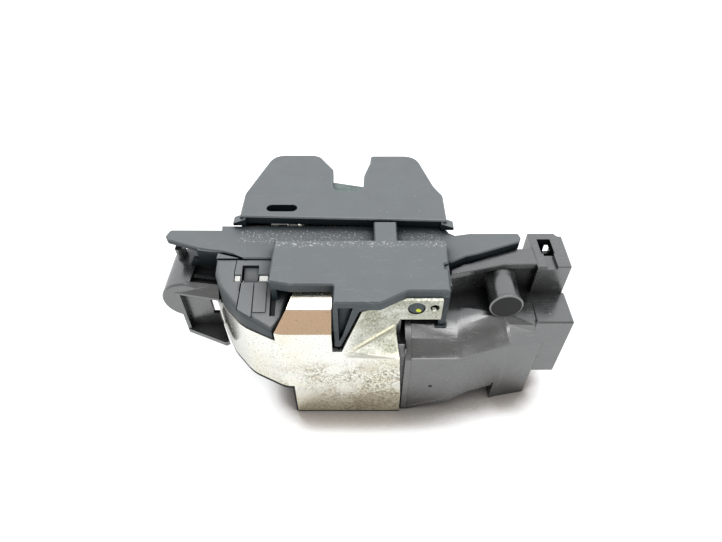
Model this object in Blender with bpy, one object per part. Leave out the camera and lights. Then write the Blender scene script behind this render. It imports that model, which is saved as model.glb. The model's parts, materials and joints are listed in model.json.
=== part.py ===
"""Boot lid lock: a pressed bracket, a rotary claw and a geared release motor in moulded housings.

The frame is +X to the right along the lock, +Y towards the striker mouth, +Z up.
The origin is under the middle of the lock, on the surface it lies on. Sizes are in metres.
"""
import math

import bpy
import bmesh
from mathutils import Matrix, Vector

# Clearances
GAP = 0.0003
RUNNING = 0.00008
REACH = 0.002
LEAST_RADIUS = 0.00005
RING = 48

# Heights above the table
PLATE_TOP = 0.0535
SHEET = 0.0015
CARRIER_THICKNESS = 0.0042
CLAW_THICKNESS = 0.0030
LATCH_ROOM = 0.0050
EAR_WALL = 0.0032
CARRIER_TOP = PLATE_TOP + GAP + CARRIER_THICKNESS
EAR_UNDERSIDE = PLATE_TOP + LATCH_ROOM
TOP = EAR_UNDERSIDE + EAR_WALL
HOUSING_TOP = PLATE_TOP - SHEET - GAP
MOTOR_BOX_TOP = 0.0428
LEDGE_TOP = 0.0555
LEDGE_THICKNESS = 0.0020
LEFT_TOP = 0.0490
BOTTOM_COVER = 0.0020
HOUSING_BOTTOM = BOTTOM_COVER + GAP
WALL = 0.0020

# Striker notch and ears
NOTCH_LEFT = -0.0099
NOTCH_RIGHT = 0.0012
NOTCH_BOTTOM = 0.0165
EAR_LEFT = -0.0423
EAR_RIGHT = 0.0304
EAR_BACK = 0.0400
EAR_FRONT_LEFT = 0.0021
EAR_FRONT_RIGHT = -0.0004
EAR_ROUND = 0.0060
SKIRT = 0.0015
PLATE_INSET = 0.0006
WINDOW_LEFT = -0.0334
WINDOW_RIGHT = -0.0224
WINDOW_FRONT = 0.0047
WINDOW_BACK = 0.0085

# Claw: the fork that holds the striker
CLAW_X = 0.0074
CLAW_Y = 0.0189
CLAW_SWING = math.radians(55)
STRIKER_X = -0.0046
STRIKER_Y = 0.0210
SLOT_RADIUS = 0.0045
CLAW_REACH = 0.0213
CLAW_BODY = 0.0085
HOOK_HEIGHT = 0.0376
CLAW_BORE = 0.0030

# Pawl: the catch that blocks the claw
PAWL_X = -0.0230
PAWL_Y = 0.0246
PAWL_BODY = 0.0050
PAWL_BORE = 0.0025
TAIL_RIGHT = -0.0263
TAIL_WIDTH = 0.0030
TAIL_END = 0.0030

# Release lever, cam and gears
LEVER_X = -0.0200
LEVER_Y = -0.0090
LEVER_THICKNESS = 0.0024
LEVER_BORE = 0.0018
LEVER_HUB = 0.0036
WHEEL_X = -0.0020
WHEEL_Y = -0.0225
WHEEL_TEETH = 30
WHEEL_RADIUS = 0.0110
WHEEL_MIDDLE = 0.0310
WHEEL_WIDTH = 0.0050
TOOTH_HEIGHT = 0.0007
TOOTH_DEPTH = 0.0009
TOOTH_THICKNESS = 0.00085
FLANK = math.radians(20)
WORM_RADIUS = 0.0030
WORM_LENGTH = 0.0125
WORM_Y = WHEEL_Y + WHEEL_RADIUS + WORM_RADIUS
PITCH = 2 * math.pi * WHEEL_RADIUS / WHEEL_TEETH
HUB_RADIUS = 0.0048
CAM_LOW = 0.0090
CAM_HIGH = 0.0118
CAM_TURN = math.radians(96)
AXLE_RADIUS = 0.0015

# Motor
MOTOR_RADIUS = 0.0100
MOTOR_FLAT = 0.0078
MOTOR_LEFT = 0.0112
MOTOR_LENGTH = 0.0290
SHAFT_RADIUS = 0.0010

# Main housing, seen from above
BOX_LEFT = -0.0240
BOX_FRONT = -0.0376
BOX_STEP = 0.0152
BOX_BACK = 0.0040
BOX_BACK_RIGHT = 0.0520
CORE_LEFT = -0.0220
CORE_FRONT = -0.0346
CORE_RIGHT = 0.0136
NOSE_LEDGE = 0.0377
SWELL_LOW = 0.0330
SWELL_POWER = 1.7
STEP = 0.0001
LIFT_START = 0.0180
LIFT_END = 0.0400
LIFT = 0.0088
FOOT_LEFT = 0.0498
FOOT_BACK = -0.0215

# Bracket
WALL_FRONT = -0.0394
WALL_LEFT = -0.0233
WALL_RIGHT = 0.0147
WALL_LOW = 0.0008
BAND_TOP = 0.0438
BAND_LOW = 0.0178
BAND_CORNERS = (
    (-0.0262, -0.0394, 0.010), (-0.0388, -0.0330, 0.016), (-0.0467, -0.0240, 0.016), (-0.0533, -0.0115, 0.0),
)
ARM_RIGHT = -0.0090
ARM_BEND = 0.0478
ARM_SLOPE = 0.0057
NECK_LEFT = -0.0233
NECK_BACK = -0.0213
TAB_BACK = 0.0054
TAB_LOW = 0.0489
TAB_TOP = 0.0580
TAB_RIGHT = 0.0260
STUD_X = 0.0179
STUD_Z = 0.0542
STUD_RADIUS = 0.0025

# Front cover
COVER_LEFT = -0.0286
COVER_RIGHT = 0.0286
COVER_BACK = -0.0102
COVER_FRONT = -0.0331
BRIDGE_LEFT = 0.0048
BRIDGE_RIGHT = 0.0128
NOSE_LEFT = -0.0079
NOSE_RIGHT = 0.0063
NOSE_FRONT = -0.0380
NOSE_TIP = 0.0394
LEG_FRONT = -0.0303
LEG_LEFT = 0.0262
LEG_RIGHT = 0.0287
LEG_TOE = 0.0408

# Lobe of the carrier
LOBE_START = -0.0150
LOBE_SLOPE = 0.42
LOBE_LOW = BAND_TOP + GAP
LOBE_EDGE = 0.0014
SHOULDER_LOW = LEFT_TOP + GAP

# Right end
TOWER_LEFT = 0.0597
TOWER_RIGHT = 0.0714
TOWER_FRONT = -0.0172
TOWER_BACK = -0.0002
HOLE_LEFT = 0.0622
HOLE_RIGHT = 0.0668
HOLE_FRONT = -0.0107
HOLE_BACK = -0.0034
BOSS_X = 0.0484
BOSS_Z = 0.0481
BOSS_RADIUS = 0.0052
BOSS_ROOT = 0.0057
BOSS_END = -0.0282
SOCKET_LEFT = 0.0592
SOCKET_RIGHT = 0.0720
SOCKET_FRONT = -0.0304
SOCKET_BACK = -0.0165
SOCKET_BOTTOM = 0.0144
SOCKET_DEPTH = 0.0160
SOCKET_WALL = 0.0013

# Left end
DRUM_X = -0.0610
DRUM_Z = 0.0405
DRUM_RADIUS = 0.0085
DRUM_FRONT = -0.0190
DRUM_BACK = -0.0010
NICHE_LEFT = -0.0640
NICHE_FLOOR = 0.0250
NICHE_TOP = 0.0450
NICHE_BACK = -0.0167
SLAB_RIGHT = -0.0482
POST = 0.0013

# Screws that hold the bracket's plate and the bottom cover
PLATE_SCREWS = ((-0.0180, -0.0222), (-0.0125, -0.0010))
COVER_SCREWS = ((-0.0180, -0.0005, 0.0), (0.0458, 0.0, LIFT), (0.0118, -0.0330, 0.0))
PILLAR_TOPS = (HOUSING_TOP - 0.0010, MOTOR_BOX_TOP - 0.0010, NOSE_LEDGE - 0.0010)


def material(name, colour, roughness, metallic=0.0):
    """A plain surface finish."""
    finish = bpy.data.materials.new(name)
    finish.use_nodes = True
    shader = finish.node_tree.nodes["Principled BSDF"]
    shader.inputs["Base Color"].default_value = (*colour, 1.0)
    shader.inputs["Roughness"].default_value = roughness
    shader.inputs["Metallic"].default_value = metallic
    finish.diffuse_color = (*colour, 1.0)
    return finish


def clear_scene():
    """Remove everything that a new file starts with."""
    for item in list(bpy.data.objects):
        bpy.data.objects.remove(item, do_unlink=True)


def arc(centre, radius, start, end, steps):
    """Points on a circle's arc, both ends included. Angles are in degrees."""
    points = []
    for step in range(steps + 1):
        angle = math.radians(start + (end - start) * step / steps)
        points.append((centre[0] + radius * math.cos(angle), centre[1] + radius * math.sin(angle)))
    return points


def circle(centre, radius, steps=RING):
    """A closed circle as a polygon."""
    return arc(centre, radius, 0, 360, steps)[:-1]


def box_outline(left, front, right, back):
    """A rectangle seen from above."""
    return [(left, front), (right, front), (right, back), (left, back)]


def rounded(corners, steps=4):
    """A polygon whose corners, given as (x, y, radius), are turned into arcs."""
    outline = []
    count = len(corners)
    for index, corner in enumerate(corners):
        here = Vector(corner[:2])
        radius = corner[2] if len(corner) > 2 else 0.0
        before = (Vector(corners[index - 1][:2]) - here).normalized()
        after = (Vector(corners[(index + 1) % count][:2]) - here).normalized()
        half = before.angle(after) / 2
        if radius <= 0 or half > math.radians(89):
            outline.append(tuple(here))
            continue
        reach = radius / math.tan(half)
        centre = here + (before + after).normalized() * (radius / math.sin(half))
        first = here + before * reach - centre
        last = here + after * reach - centre
        sweep = first.angle_signed(last)
        for step in range(steps + 1):
            turned = Matrix.Rotation(-sweep * step / steps, 2) @ first
            outline.append(tuple(centre + turned))
    return outline


def area(outline):
    """Signed area: positive when the outline runs anticlockwise."""
    total = 0.0
    for (x1, y1), (x2, y2) in zip(outline, outline[1:] + outline[:1]):
        total += x1 * y2 - x2 * y1
    return total / 2


def shrunk(corners, distance):
    """Corners moved inwards by a distance; their radii change with them."""
    sign = 1 if area([corner[:2] for corner in corners]) > 0 else -1
    count = len(corners)
    moved = []
    for index, corner in enumerate(corners):
        here = Vector(corner[:2])
        ahead = (Vector(corners[(index + 1) % count][:2]) - here).normalized()
        behind = (here - Vector(corners[index - 1][:2])).normalized()
        normal = Vector((-ahead.y - behind.y, ahead.x + behind.x)) * sign
        normal.normalize()
        side = Vector((-ahead.y, ahead.x)) * sign
        place = here + normal * distance / max(normal.dot(side), 0.3)
        if len(corner) < 3 or corner[2] <= 0:
            moved.append(tuple(place))
            continue
        outward = (behind.x * ahead.y - behind.y * ahead.x) * sign > 0
        radius = corner[2] - distance if outward else corner[2] + distance
        moved.append((*place, max(radius, LEAST_RADIUS)))
    return moved


def placed(u, v, w, axis):
    """A point of an outline drawn across the given axis."""
    if axis == "X":
        return (w, u, v)
    if axis == "Y":
        return (u, w, v)
    return (u, v, w)


def finish_object(name, bm, finish, smooth=None):
    """Turn a bmesh into an object of the scene."""
    bmesh.ops.recalc_face_normals(bm, faces=bm.faces)
    mesh = bpy.data.meshes.new(name)
    bm.to_mesh(mesh)
    bm.free()
    item = bpy.data.objects.new(name, mesh)
    bpy.context.scene.collection.objects.link(item)
    if finish is not None:
        mesh.materials.append(finish)
    if smooth is not None:
        mesh.shade_smooth()
        mesh.set_sharp_from_angle(angle=math.radians(smooth))
    return item


def stack(name, rings, finish=None, axis="Z", smooth=None):
    """A solid through rings of equally many points, each given as (outline, height)."""
    bm = bmesh.new()
    rows = []
    for outline, height in rings:
        rows.append([bm.verts.new(placed(u, v, height, axis)) for u, v in outline])
    count = len(rows[0])
    bm.faces.new(rows[0])
    bm.faces.new(rows[-1])
    for low, high in zip(rows, rows[1:]):
        for index in range(count):
            after = (index + 1) % count
            bm.faces.new((low[index], low[after], high[after], high[index]))
    return finish_object(name, bm, finish, smooth)


def prism(name, corners, low, high, finish=None, axis="Z", edge=0.0, steps=1, smooth=None):
    """An outline pushed along an axis, with its top edge rounded off if edge is given."""
    rings = [(rounded(corners), low)]
    if edge <= 0:
        rings.append((rounded(corners), high))
    else:
        for step in range(steps + 1):
            angle = math.pi / 2 * step / steps
            outline = rounded(shrunk(corners, edge * (1 - math.cos(angle))))
            rings.append((outline, high - edge * (1 - math.sin(angle))))
    return stack(name, rings, finish, axis, smooth)


def combine(target, tool, operation):
    """A Boolean of one object with a hidden tool."""
    change = target.modifiers.new(tool.name, "BOOLEAN")
    change.operation = operation
    change.object = tool
    change.solver = "EXACT"
    tool.hide_render = True
    tool.display_type = "WIRE"


def settle(target):
    """Apply the object's modifiers and remove the tools that they used."""
    tools = [change.object for change in target.modifiers if change.type == "BOOLEAN"]
    graph = bpy.context.evaluated_depsgraph_get()
    mesh = bpy.data.meshes.new_from_object(target.evaluated_get(graph))
    target.modifiers.clear()
    old = target.data
    target.data = mesh
    mesh.name = target.name
    bpy.data.meshes.remove(old)
    for tool in tools:
        bpy.data.objects.remove(tool, do_unlink=True)
    return target


def built(target, add=(), cut=(), smooth=None):
    """Join the added solids to the target, take the cuts away, and keep the result."""
    for tool in add:
        combine(target, tool, "UNION")
    for tool in cut:
        combine(target, tool, "DIFFERENCE")
    settle(target)
    if smooth is not None:
        target.data.shade_smooth()
        target.data.set_sharp_from_angle(angle=math.radians(smooth))
    return target


def on_axis(item, x, y, z):
    """Put an object's origin on its joint's axis without moving its shape."""
    item.data.transform(Matrix.Translation((-x, -y, -z)))
    item.location = (x, y, z)
    return item


def slope_height(y):
    """Height of the carrier's top: level at the back, falling away over the lobe."""
    return CARRIER_TOP - LOBE_SLOPE * max(0.0, LOBE_START - y)


def ear_outline(shrink=0.0):
    """The ear plate with its striker notch."""
    left = NOTCH_LEFT - shrink
    right = NOTCH_RIGHT + shrink
    corners = [
        (EAR_LEFT + shrink, EAR_FRONT_LEFT),
        (EAR_RIGHT - shrink, EAR_FRONT_RIGHT),
        (EAR_RIGHT - shrink, EAR_FRONT_RIGHT + 0.0146, 0.004),
        (EAR_RIGHT - 0.0027 - shrink, NOTCH_BOTTOM + 0.0028, 0.02),
        (EAR_RIGHT - 0.0082 - shrink, EAR_BACK - 0.0004 - shrink, EAR_ROUND),
        (right + 0.0032, EAR_BACK - 0.0004 - shrink, 0.0010),
        (right + 0.0028, EAR_BACK - 0.0050, 0.002),
        (right + 0.0004, NOTCH_BOTTOM + 0.0101, 0.01),
        (right, NOTCH_BOTTOM - shrink, 0.0036),
        (left, NOTCH_BOTTOM - shrink, 0.0036),
        (left - 0.0004, NOTCH_BOTTOM + 0.0139, 0.003),
        (left - 0.0058, EAR_BACK - 0.0010 - shrink, 0.001),
        (left - 0.0084, EAR_BACK + 0.0002 - shrink, 0.001),
        (EAR_LEFT + 0.0079 + shrink, EAR_BACK + 0.0002 - shrink, EAR_ROUND),
        (EAR_LEFT + shrink, EAR_FRONT_LEFT + 0.0132, 0.006),
    ]
    return corners


def chamber_outline():
    """The room inside the ear cover, open to the notch and to the front."""
    wall = SKIRT
    corners = [
        (EAR_LEFT + wall, EAR_FRONT_LEFT - 0.008),
        (EAR_RIGHT - wall, EAR_FRONT_RIGHT - 0.008),
        (EAR_RIGHT - wall, EAR_FRONT_RIGHT + 0.0146),
        (EAR_RIGHT - 0.0027 - wall, NOTCH_BOTTOM + 0.0028),
        (EAR_RIGHT - 0.0082 - wall, EAR_BACK - 0.0004 - wall, EAR_ROUND - wall),
        (EAR_LEFT + 0.0079 + wall, EAR_BACK - 0.0004 - wall, EAR_ROUND - wall),
        (EAR_LEFT + wall, EAR_FRONT_LEFT + 0.0132),
    ]
    return corners


def make_ear_cover(finish):
    """Moulded cover over the claw and the pawl, with a skirt down to the bracket's plate."""
    cover = prism("ear_cover", ear_outline(), PLATE_TOP + GAP, TOP, finish, edge=0.0005)
    chamber = prism("chamber", chamber_outline(), PLATE_TOP - REACH, EAR_UNDERSIDE)
    pocket_top = TOP - 0.0014
    claw_pocket = prism("claw_pocket", circle((CLAW_X, CLAW_Y), 0.0066, 32), EAR_UNDERSIDE - REACH, pocket_top)
    pawl_pocket = prism("pawl_pocket", circle((PAWL_X, PAWL_Y), 0.0060, 32), EAR_UNDERSIDE - REACH, pocket_top)
    radius = (WINDOW_BACK - WINDOW_FRONT) / 2
    middle = (WINDOW_BACK + WINDOW_FRONT) / 2
    slot = arc((WINDOW_RIGHT - radius, middle), radius, -90, 90, 8)
    slot += arc((WINDOW_LEFT + radius, middle), radius, 90, 270, 8)
    window = prism("window", slot, EAR_UNDERSIDE - REACH, TOP + REACH)
    feet = []
    foot_low = CARRIER_TOP + GAP
    for name, edge_x, way, front in (
        ("left_foot", EAR_LEFT, -1, EAR_FRONT_LEFT),
        ("right_foot", EAR_RIGHT, 1, EAR_FRONT_RIGHT),
    ):
        outline = [
            (edge_x - way * 0.0020, foot_low),
            (edge_x + way * 0.0025, foot_low),
            (edge_x + way * 0.0025, foot_low + 0.0011),
            (edge_x - way * 0.0020, TOP - 0.0006),
        ]
        feet.append(prism(name, outline, front - 0.0012, front + 0.0024, axis="Y"))
    return built(cover, feet, [chamber, claw_pocket, pawl_pocket, window])


def band_outline():
    """Outer face of the bracket's wall, from its straight part round to the left tip."""
    corners = [(WALL_RIGHT, WALL_FRONT), *BAND_CORNERS, (BAND_CORNERS[-1][0], 0.010)]
    outline = rounded(corners)
    return outline[1:-1]


def make_bracket(finish):
    """Pressed zinc-plated bracket: front wall, curved band, two arms and the notched plate."""
    bm = bmesh.new()
    corners = {}

    def vertex(x, y, z):
        key = (round(x, 7), round(y, 7), round(z, 7))
        if key not in corners:
            corners[key] = bm.verts.new((x, y, z))
        return corners[key]

    def face(*points):
        bm.faces.new([vertex(*point) for point in points])

    front = WALL_FRONT
    band = band_outline()
    start = band[0][0]
    bend = band[:4]
    tip = (-0.0059, front, 0.0386)
    fan = (-0.0032, front, 0.0386)
    crease_low = (0.0133, front, 0.0345)
    crease_high = (0.0120, front + 0.0046, 0.0424)
    crease_top = (0.0118, front + 0.0050, 0.0460)
    arm_inner = (0.0130, front + TAB_BACK, TAB_LOW)
    arm_outer = (0.0007, front + 0.0020, 0.0566)
    tab_top = (0.0126, front + TAB_BACK, TAB_TOP)
    top = ARM_BEND + ARM_SLOPE
    back = front + ARM_SLOPE
    # front wall
    face((WALL_LEFT, front, WALL_LOW), (WALL_RIGHT, front, WALL_LOW), (WALL_RIGHT, front, 0.011), crease_low, fan,
         tip, (ARM_RIGHT, front, 0.0386), (ARM_RIGHT, front, ARM_BEND), (start, front, ARM_BEND),
         (start, front, BAND_TOP), (start, front, BAND_LOW), (WALL_LEFT, front, BAND_LOW))
    # right arm with its fan of creases, and the tab
    face(fan, crease_low, crease_high)
    face(fan, crease_high, crease_top)
    face(fan, crease_top, arm_inner, tab_top, arm_outer)
    face(fan, arm_outer, tip)
    face(arm_inner, (TAB_RIGHT, front + TAB_BACK, TAB_LOW), (TAB_RIGHT, front + TAB_BACK, TAB_TOP), tab_top)
    # band round the left end, with the foot of the left arm above its bend
    for (x1, y1), (x2, y2) in zip(band, band[1:]):
        face((x1, y1, BAND_LOW), (x1, y1, BAND_TOP), (x2, y2, BAND_TOP), (x2, y2, BAND_LOW))
    for (x1, y1), (x2, y2) in zip(bend, bend[1:]):
        face((x1, y1, BAND_TOP), (x1, y1, ARM_BEND), (x2, y2, ARM_BEND), (x2, y2, BAND_TOP))
        face((x1, y1, ARM_BEND), (NECK_LEFT, back, top), (x2, y2, ARM_BEND))
    # sloping facet, neck and ear plate
    face((start, front, ARM_BEND), (ARM_RIGHT, front, ARM_BEND), (ARM_RIGHT, back, top), (NECK_LEFT, back, top))
    plate = rounded(ear_outline(PLATE_INSET))
    ears = [(x, y, top) for x, y in plate]
    face((NECK_LEFT, back, top), (ARM_RIGHT, back, top), (ARM_RIGHT, EAR_FRONT_RIGHT, top), *ears[1:], ears[0],
         (NECK_BACK, -0.0116, top), (NECK_BACK, -0.0243, top))
    mesh = bpy.data.meshes.new("bracket")
    bmesh.ops.recalc_face_normals(bm, faces=bm.faces)
    wall_face = max((f for f in bm.faces if abs(f.normal.y) > 0.99), key=lambda f: f.calc_area())
    if wall_face.normal.y > 0:
        bmesh.ops.reverse_faces(bm, faces=bm.faces)
    bm.to_mesh(mesh)
    bm.free()
    bracket = bpy.data.objects.new("bracket", mesh)
    bpy.context.scene.collection.objects.link(bracket)
    mesh.materials.append(finish)
    solid = bracket.modifiers.new("thickness", "SOLIDIFY")
    solid.thickness = SHEET
    solid.offset = -1
    solid.use_even_offset = True
    tab_y = front + TAB_BACK
    holes = [
        prism("stud_hole", circle((STUD_X, STUD_Z), STUD_RADIUS + GAP, 24), tab_y - REACH, tab_y + SHEET + REACH, axis="Y"),
        prism("small_hole", circle((0.0236, 0.0545), 0.00145, 16), tab_y - REACH, tab_y + SHEET + REACH, axis="Y"),
    ]
    low = PLATE_TOP - SHEET - REACH
    high = PLATE_TOP + REACH
    for name, x, y, radius in (
        ("claw_pin_hole", CLAW_X, CLAW_Y, 0.0024 + GAP),
        ("pawl_pin_hole", PAWL_X, PAWL_Y, 0.0020 + GAP),
        ("lever_pin_hole", LEVER_X, LEVER_Y, 0.0013 + GAP),
        ("buffer_hole", STRIKER_X, NOTCH_BOTTOM - 0.0045, 0.0014 + GAP),
        ("screw_hole_1", *PLATE_SCREWS[0], 0.0013 + GAP),
        ("screw_hole_2", *PLATE_SCREWS[1], 0.0013 + GAP),
    ):
        holes.append(prism(name, circle((x, y), radius, 20), low, high))
    return built(bracket, (), holes)


def claw_outline():
    """The claw in its open place: body, hook and the leg that the striker pushes."""
    centre = (CLAW_X, CLAW_Y)
    reach = Vector((STRIKER_X - CLAW_X, STRIKER_Y - CLAW_Y))
    slot_centre = Vector(centre) + Matrix.Rotation(-CLAW_SWING, 2) @ reach
    lean = math.degrees(math.atan2(0.242, -0.970))
    along = Vector((math.cos(math.radians(lean)), math.sin(math.radians(lean))))
    across = Vector((along.y, -along.x))
    low = slot_centre - across * SLOT_RADIUS
    leg_start = low + along * 0.001
    distance = 0.001
    while (low + along * distance - Vector(centre)).length < CLAW_REACH:
        distance += 0.0002
    leg_tip = low + along * distance
    tip_angle = math.degrees(math.atan2(leg_tip.y - CLAW_Y, leg_tip.x - CLAW_X))
    start_angle = math.degrees(math.atan2(-across.y, -across.x))
    points = arc(tuple(slot_centre), SLOT_RADIUS, 48, start_angle, 10)
    points.append(tuple(leg_start))
    points += arc(centre, CLAW_REACH, tip_angle, 184, 6)
    points += arc(centre, CLAW_BODY, 232, 400, 14)
    points += [
        (CLAW_X + 0.0042, HOOK_HEIGHT - 0.0010),
        (CLAW_X + 0.0028, HOOK_HEIGHT),
        (NOTCH_RIGHT + 0.0034, HOOK_HEIGHT),
        (NOTCH_RIGHT + 0.0032, HOOK_HEIGHT - 0.0020),
    ]
    return points


def make_claw(finish):
    """Forked steel claw on its pivot, standing open."""
    low = PLATE_TOP + GAP
    claw = prism("claw", claw_outline(), low, low + CLAW_THICKNESS, finish)
    bore = prism("claw_bore", circle((CLAW_X, CLAW_Y), CLAW_BORE + RUNNING), low - REACH, low + 2 * CLAW_THICKNESS)
    built(claw, (), [bore])
    return on_axis(claw, CLAW_X, CLAW_Y, low)


def pawl_outline():
    """The pawl, held off by the claw's leg."""
    centre = (CLAW_X, CLAW_Y)
    points = arc(centre, CLAW_REACH + GAP, 166, 197, 8)
    points += [(-0.0142, 0.0112), (-0.0164, 0.0112), (-0.0190, 0.0150), (-0.0218, 0.0190)]
    points += [
        (TAIL_RIGHT + 0.0010, 0.0150),
        (TAIL_RIGHT, 0.0095),
        (TAIL_RIGHT, TAIL_END),
        (TAIL_RIGHT - TAIL_WIDTH, TAIL_END),
        (TAIL_RIGHT - TAIL_WIDTH, 0.0120),
    ]
    points += arc((PAWL_X, PAWL_Y), PAWL_BODY, 180, 10, 12)
    return points


def make_pawl(finish):
    """Steel catch beside the claw, with a tail for the release lever."""
    low = PLATE_TOP + GAP
    pawl = prism("pawl", pawl_outline(), low, low + CLAW_THICKNESS, finish)
    bore = prism("pawl_bore", circle((PAWL_X, PAWL_Y), PAWL_BORE + RUNNING), low - REACH, low + 2 * CLAW_THICKNESS)
    built(pawl, (), [bore])
    return on_axis(pawl, PAWL_X, PAWL_Y, low)


def make_pin(name, x, y, shoulder, spigot, top, finish):
    """Stepped rivet: head under the plate, shoulder for the lever above it."""
    head = spigot + 0.0014
    under = PLATE_TOP - SHEET - GAP
    rings = [
        (circle((x, y), head - 0.0004), under - 0.0013),
        (circle((x, y), head), under - 0.0009),
        (circle((x, y), head), under),
        (circle((x, y), spigot), under),
        (circle((x, y), spigot), PLATE_TOP + GAP),
        (circle((x, y), shoulder), PLATE_TOP + GAP),
        (circle((x, y), shoulder), top),
    ]
    return stack(name, rings, finish, smooth=30)


def make_spring(name, x, y, radius, wire, low, turns, leg_angle, leg, finish):
    """Torsion spring: a short coil with two straight legs."""
    path = []
    start = math.radians(leg_angle)
    total = 2 * math.pi * turns
    rise = wire + 0.00015
    steps = int(14 * turns)
    first = Vector((math.cos(start), math.sin(start)))
    along = Vector((math.sin(start), -math.cos(start)))
    path.append((x + first.x * radius + along.x * leg, y + first.y * radius + along.y * leg, low + wire / 2))
    for step in range(steps + 1):
        angle = start + total * step / steps
        height = low + wire / 2 + rise * turns * step / steps
        path.append((x + radius * math.cos(angle), y + radius * math.sin(angle), height))
    end = start + total
    away = Vector((-math.sin(end), math.cos(end)))
    last = path[-1]
    path.append((last[0] + away.x * leg, last[1] + away.y * leg, last[2]))
    curve = bpy.data.curves.new(name, "CURVE")
    curve.dimensions = "3D"
    curve.bevel_depth = wire / 2
    curve.bevel_resolution = 1
    curve.use_fill_caps = True
    spline = curve.splines.new("POLY")
    spline.points.add(len(path) - 1)
    for point, place in zip(spline.points, path):
        point.co = (*place, 1.0)
    item = bpy.data.objects.new(name, curve)
    bpy.context.scene.collection.objects.link(item)
    curve.materials.append(finish)
    return item


def wing_outline():
    """The carrier seen from above: left wing, the middle and right wing."""
    corners = [
        (-0.0669, -0.0009, 0.0012),
        (-0.0678, -0.0042, 0.0012),
        (-0.0665, -0.0062, 0.0008),
        (-0.0550, -0.0104, 0.004),
        (-0.0504, -0.0114, 0.004),
        (-0.0470, -0.0118, 0.004),
        (-0.0427, -0.0132),
        (-0.0400, LOBE_START - STEP),
        (0.0305, LOBE_START - 0.0020),
        (0.0356, -0.0142, 0.001),
        (0.0398, -0.0130, 0.001),
        (0.0548, -0.0073, 0.0012),
        (0.0560, -0.0050, 0.0012),
        (0.0554, -0.0027, 0.0006),
        (0.0386, -0.0027),
        (0.0332, -0.0037),
        (0.0312, -0.0024),
        (0.0306, -0.0009),
        (0.0284, -0.0009),
        (0.0282, 0.0012),
        (-0.0402, 0.0014),
        (-0.0425, 0.0012),
        (-0.0490, 0.0013),
        (-0.0486, -0.0010),
    ]
    return corners


def lobe_outline():
    """Plan of the lobe: over the band on the left, along the bracket's neck on the right."""
    return [
        (-0.0479, LOBE_START),
        (-0.0480, -0.0200, 0.004),
        (-0.0464, -0.0240, 0.008),
        (-0.0387, -0.0326, 0.014),
        (-0.0293, -0.0375),
        (-0.0282, -0.0378),
        (-0.0268, -0.0366),
        (-0.0249, -0.0342, 0.002),
        (-0.0226, -0.0243),
        (-0.0226, LOBE_START),
    ]


def drape(item, low):
    """Let everything above a height follow the lobe's slope."""
    for vertex in item.data.vertices:
        if vertex.co.z > low:
            vertex.co.z -= CARRIER_TOP - slope_height(vertex.co.y)
    return item


def sunk(name, outline, low, high):
    """A solid between two distances from the lobe's sloping top."""
    return drape(prism(name, outline, CARRIER_TOP + low, CARRIER_TOP + high), 0.0)


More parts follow.
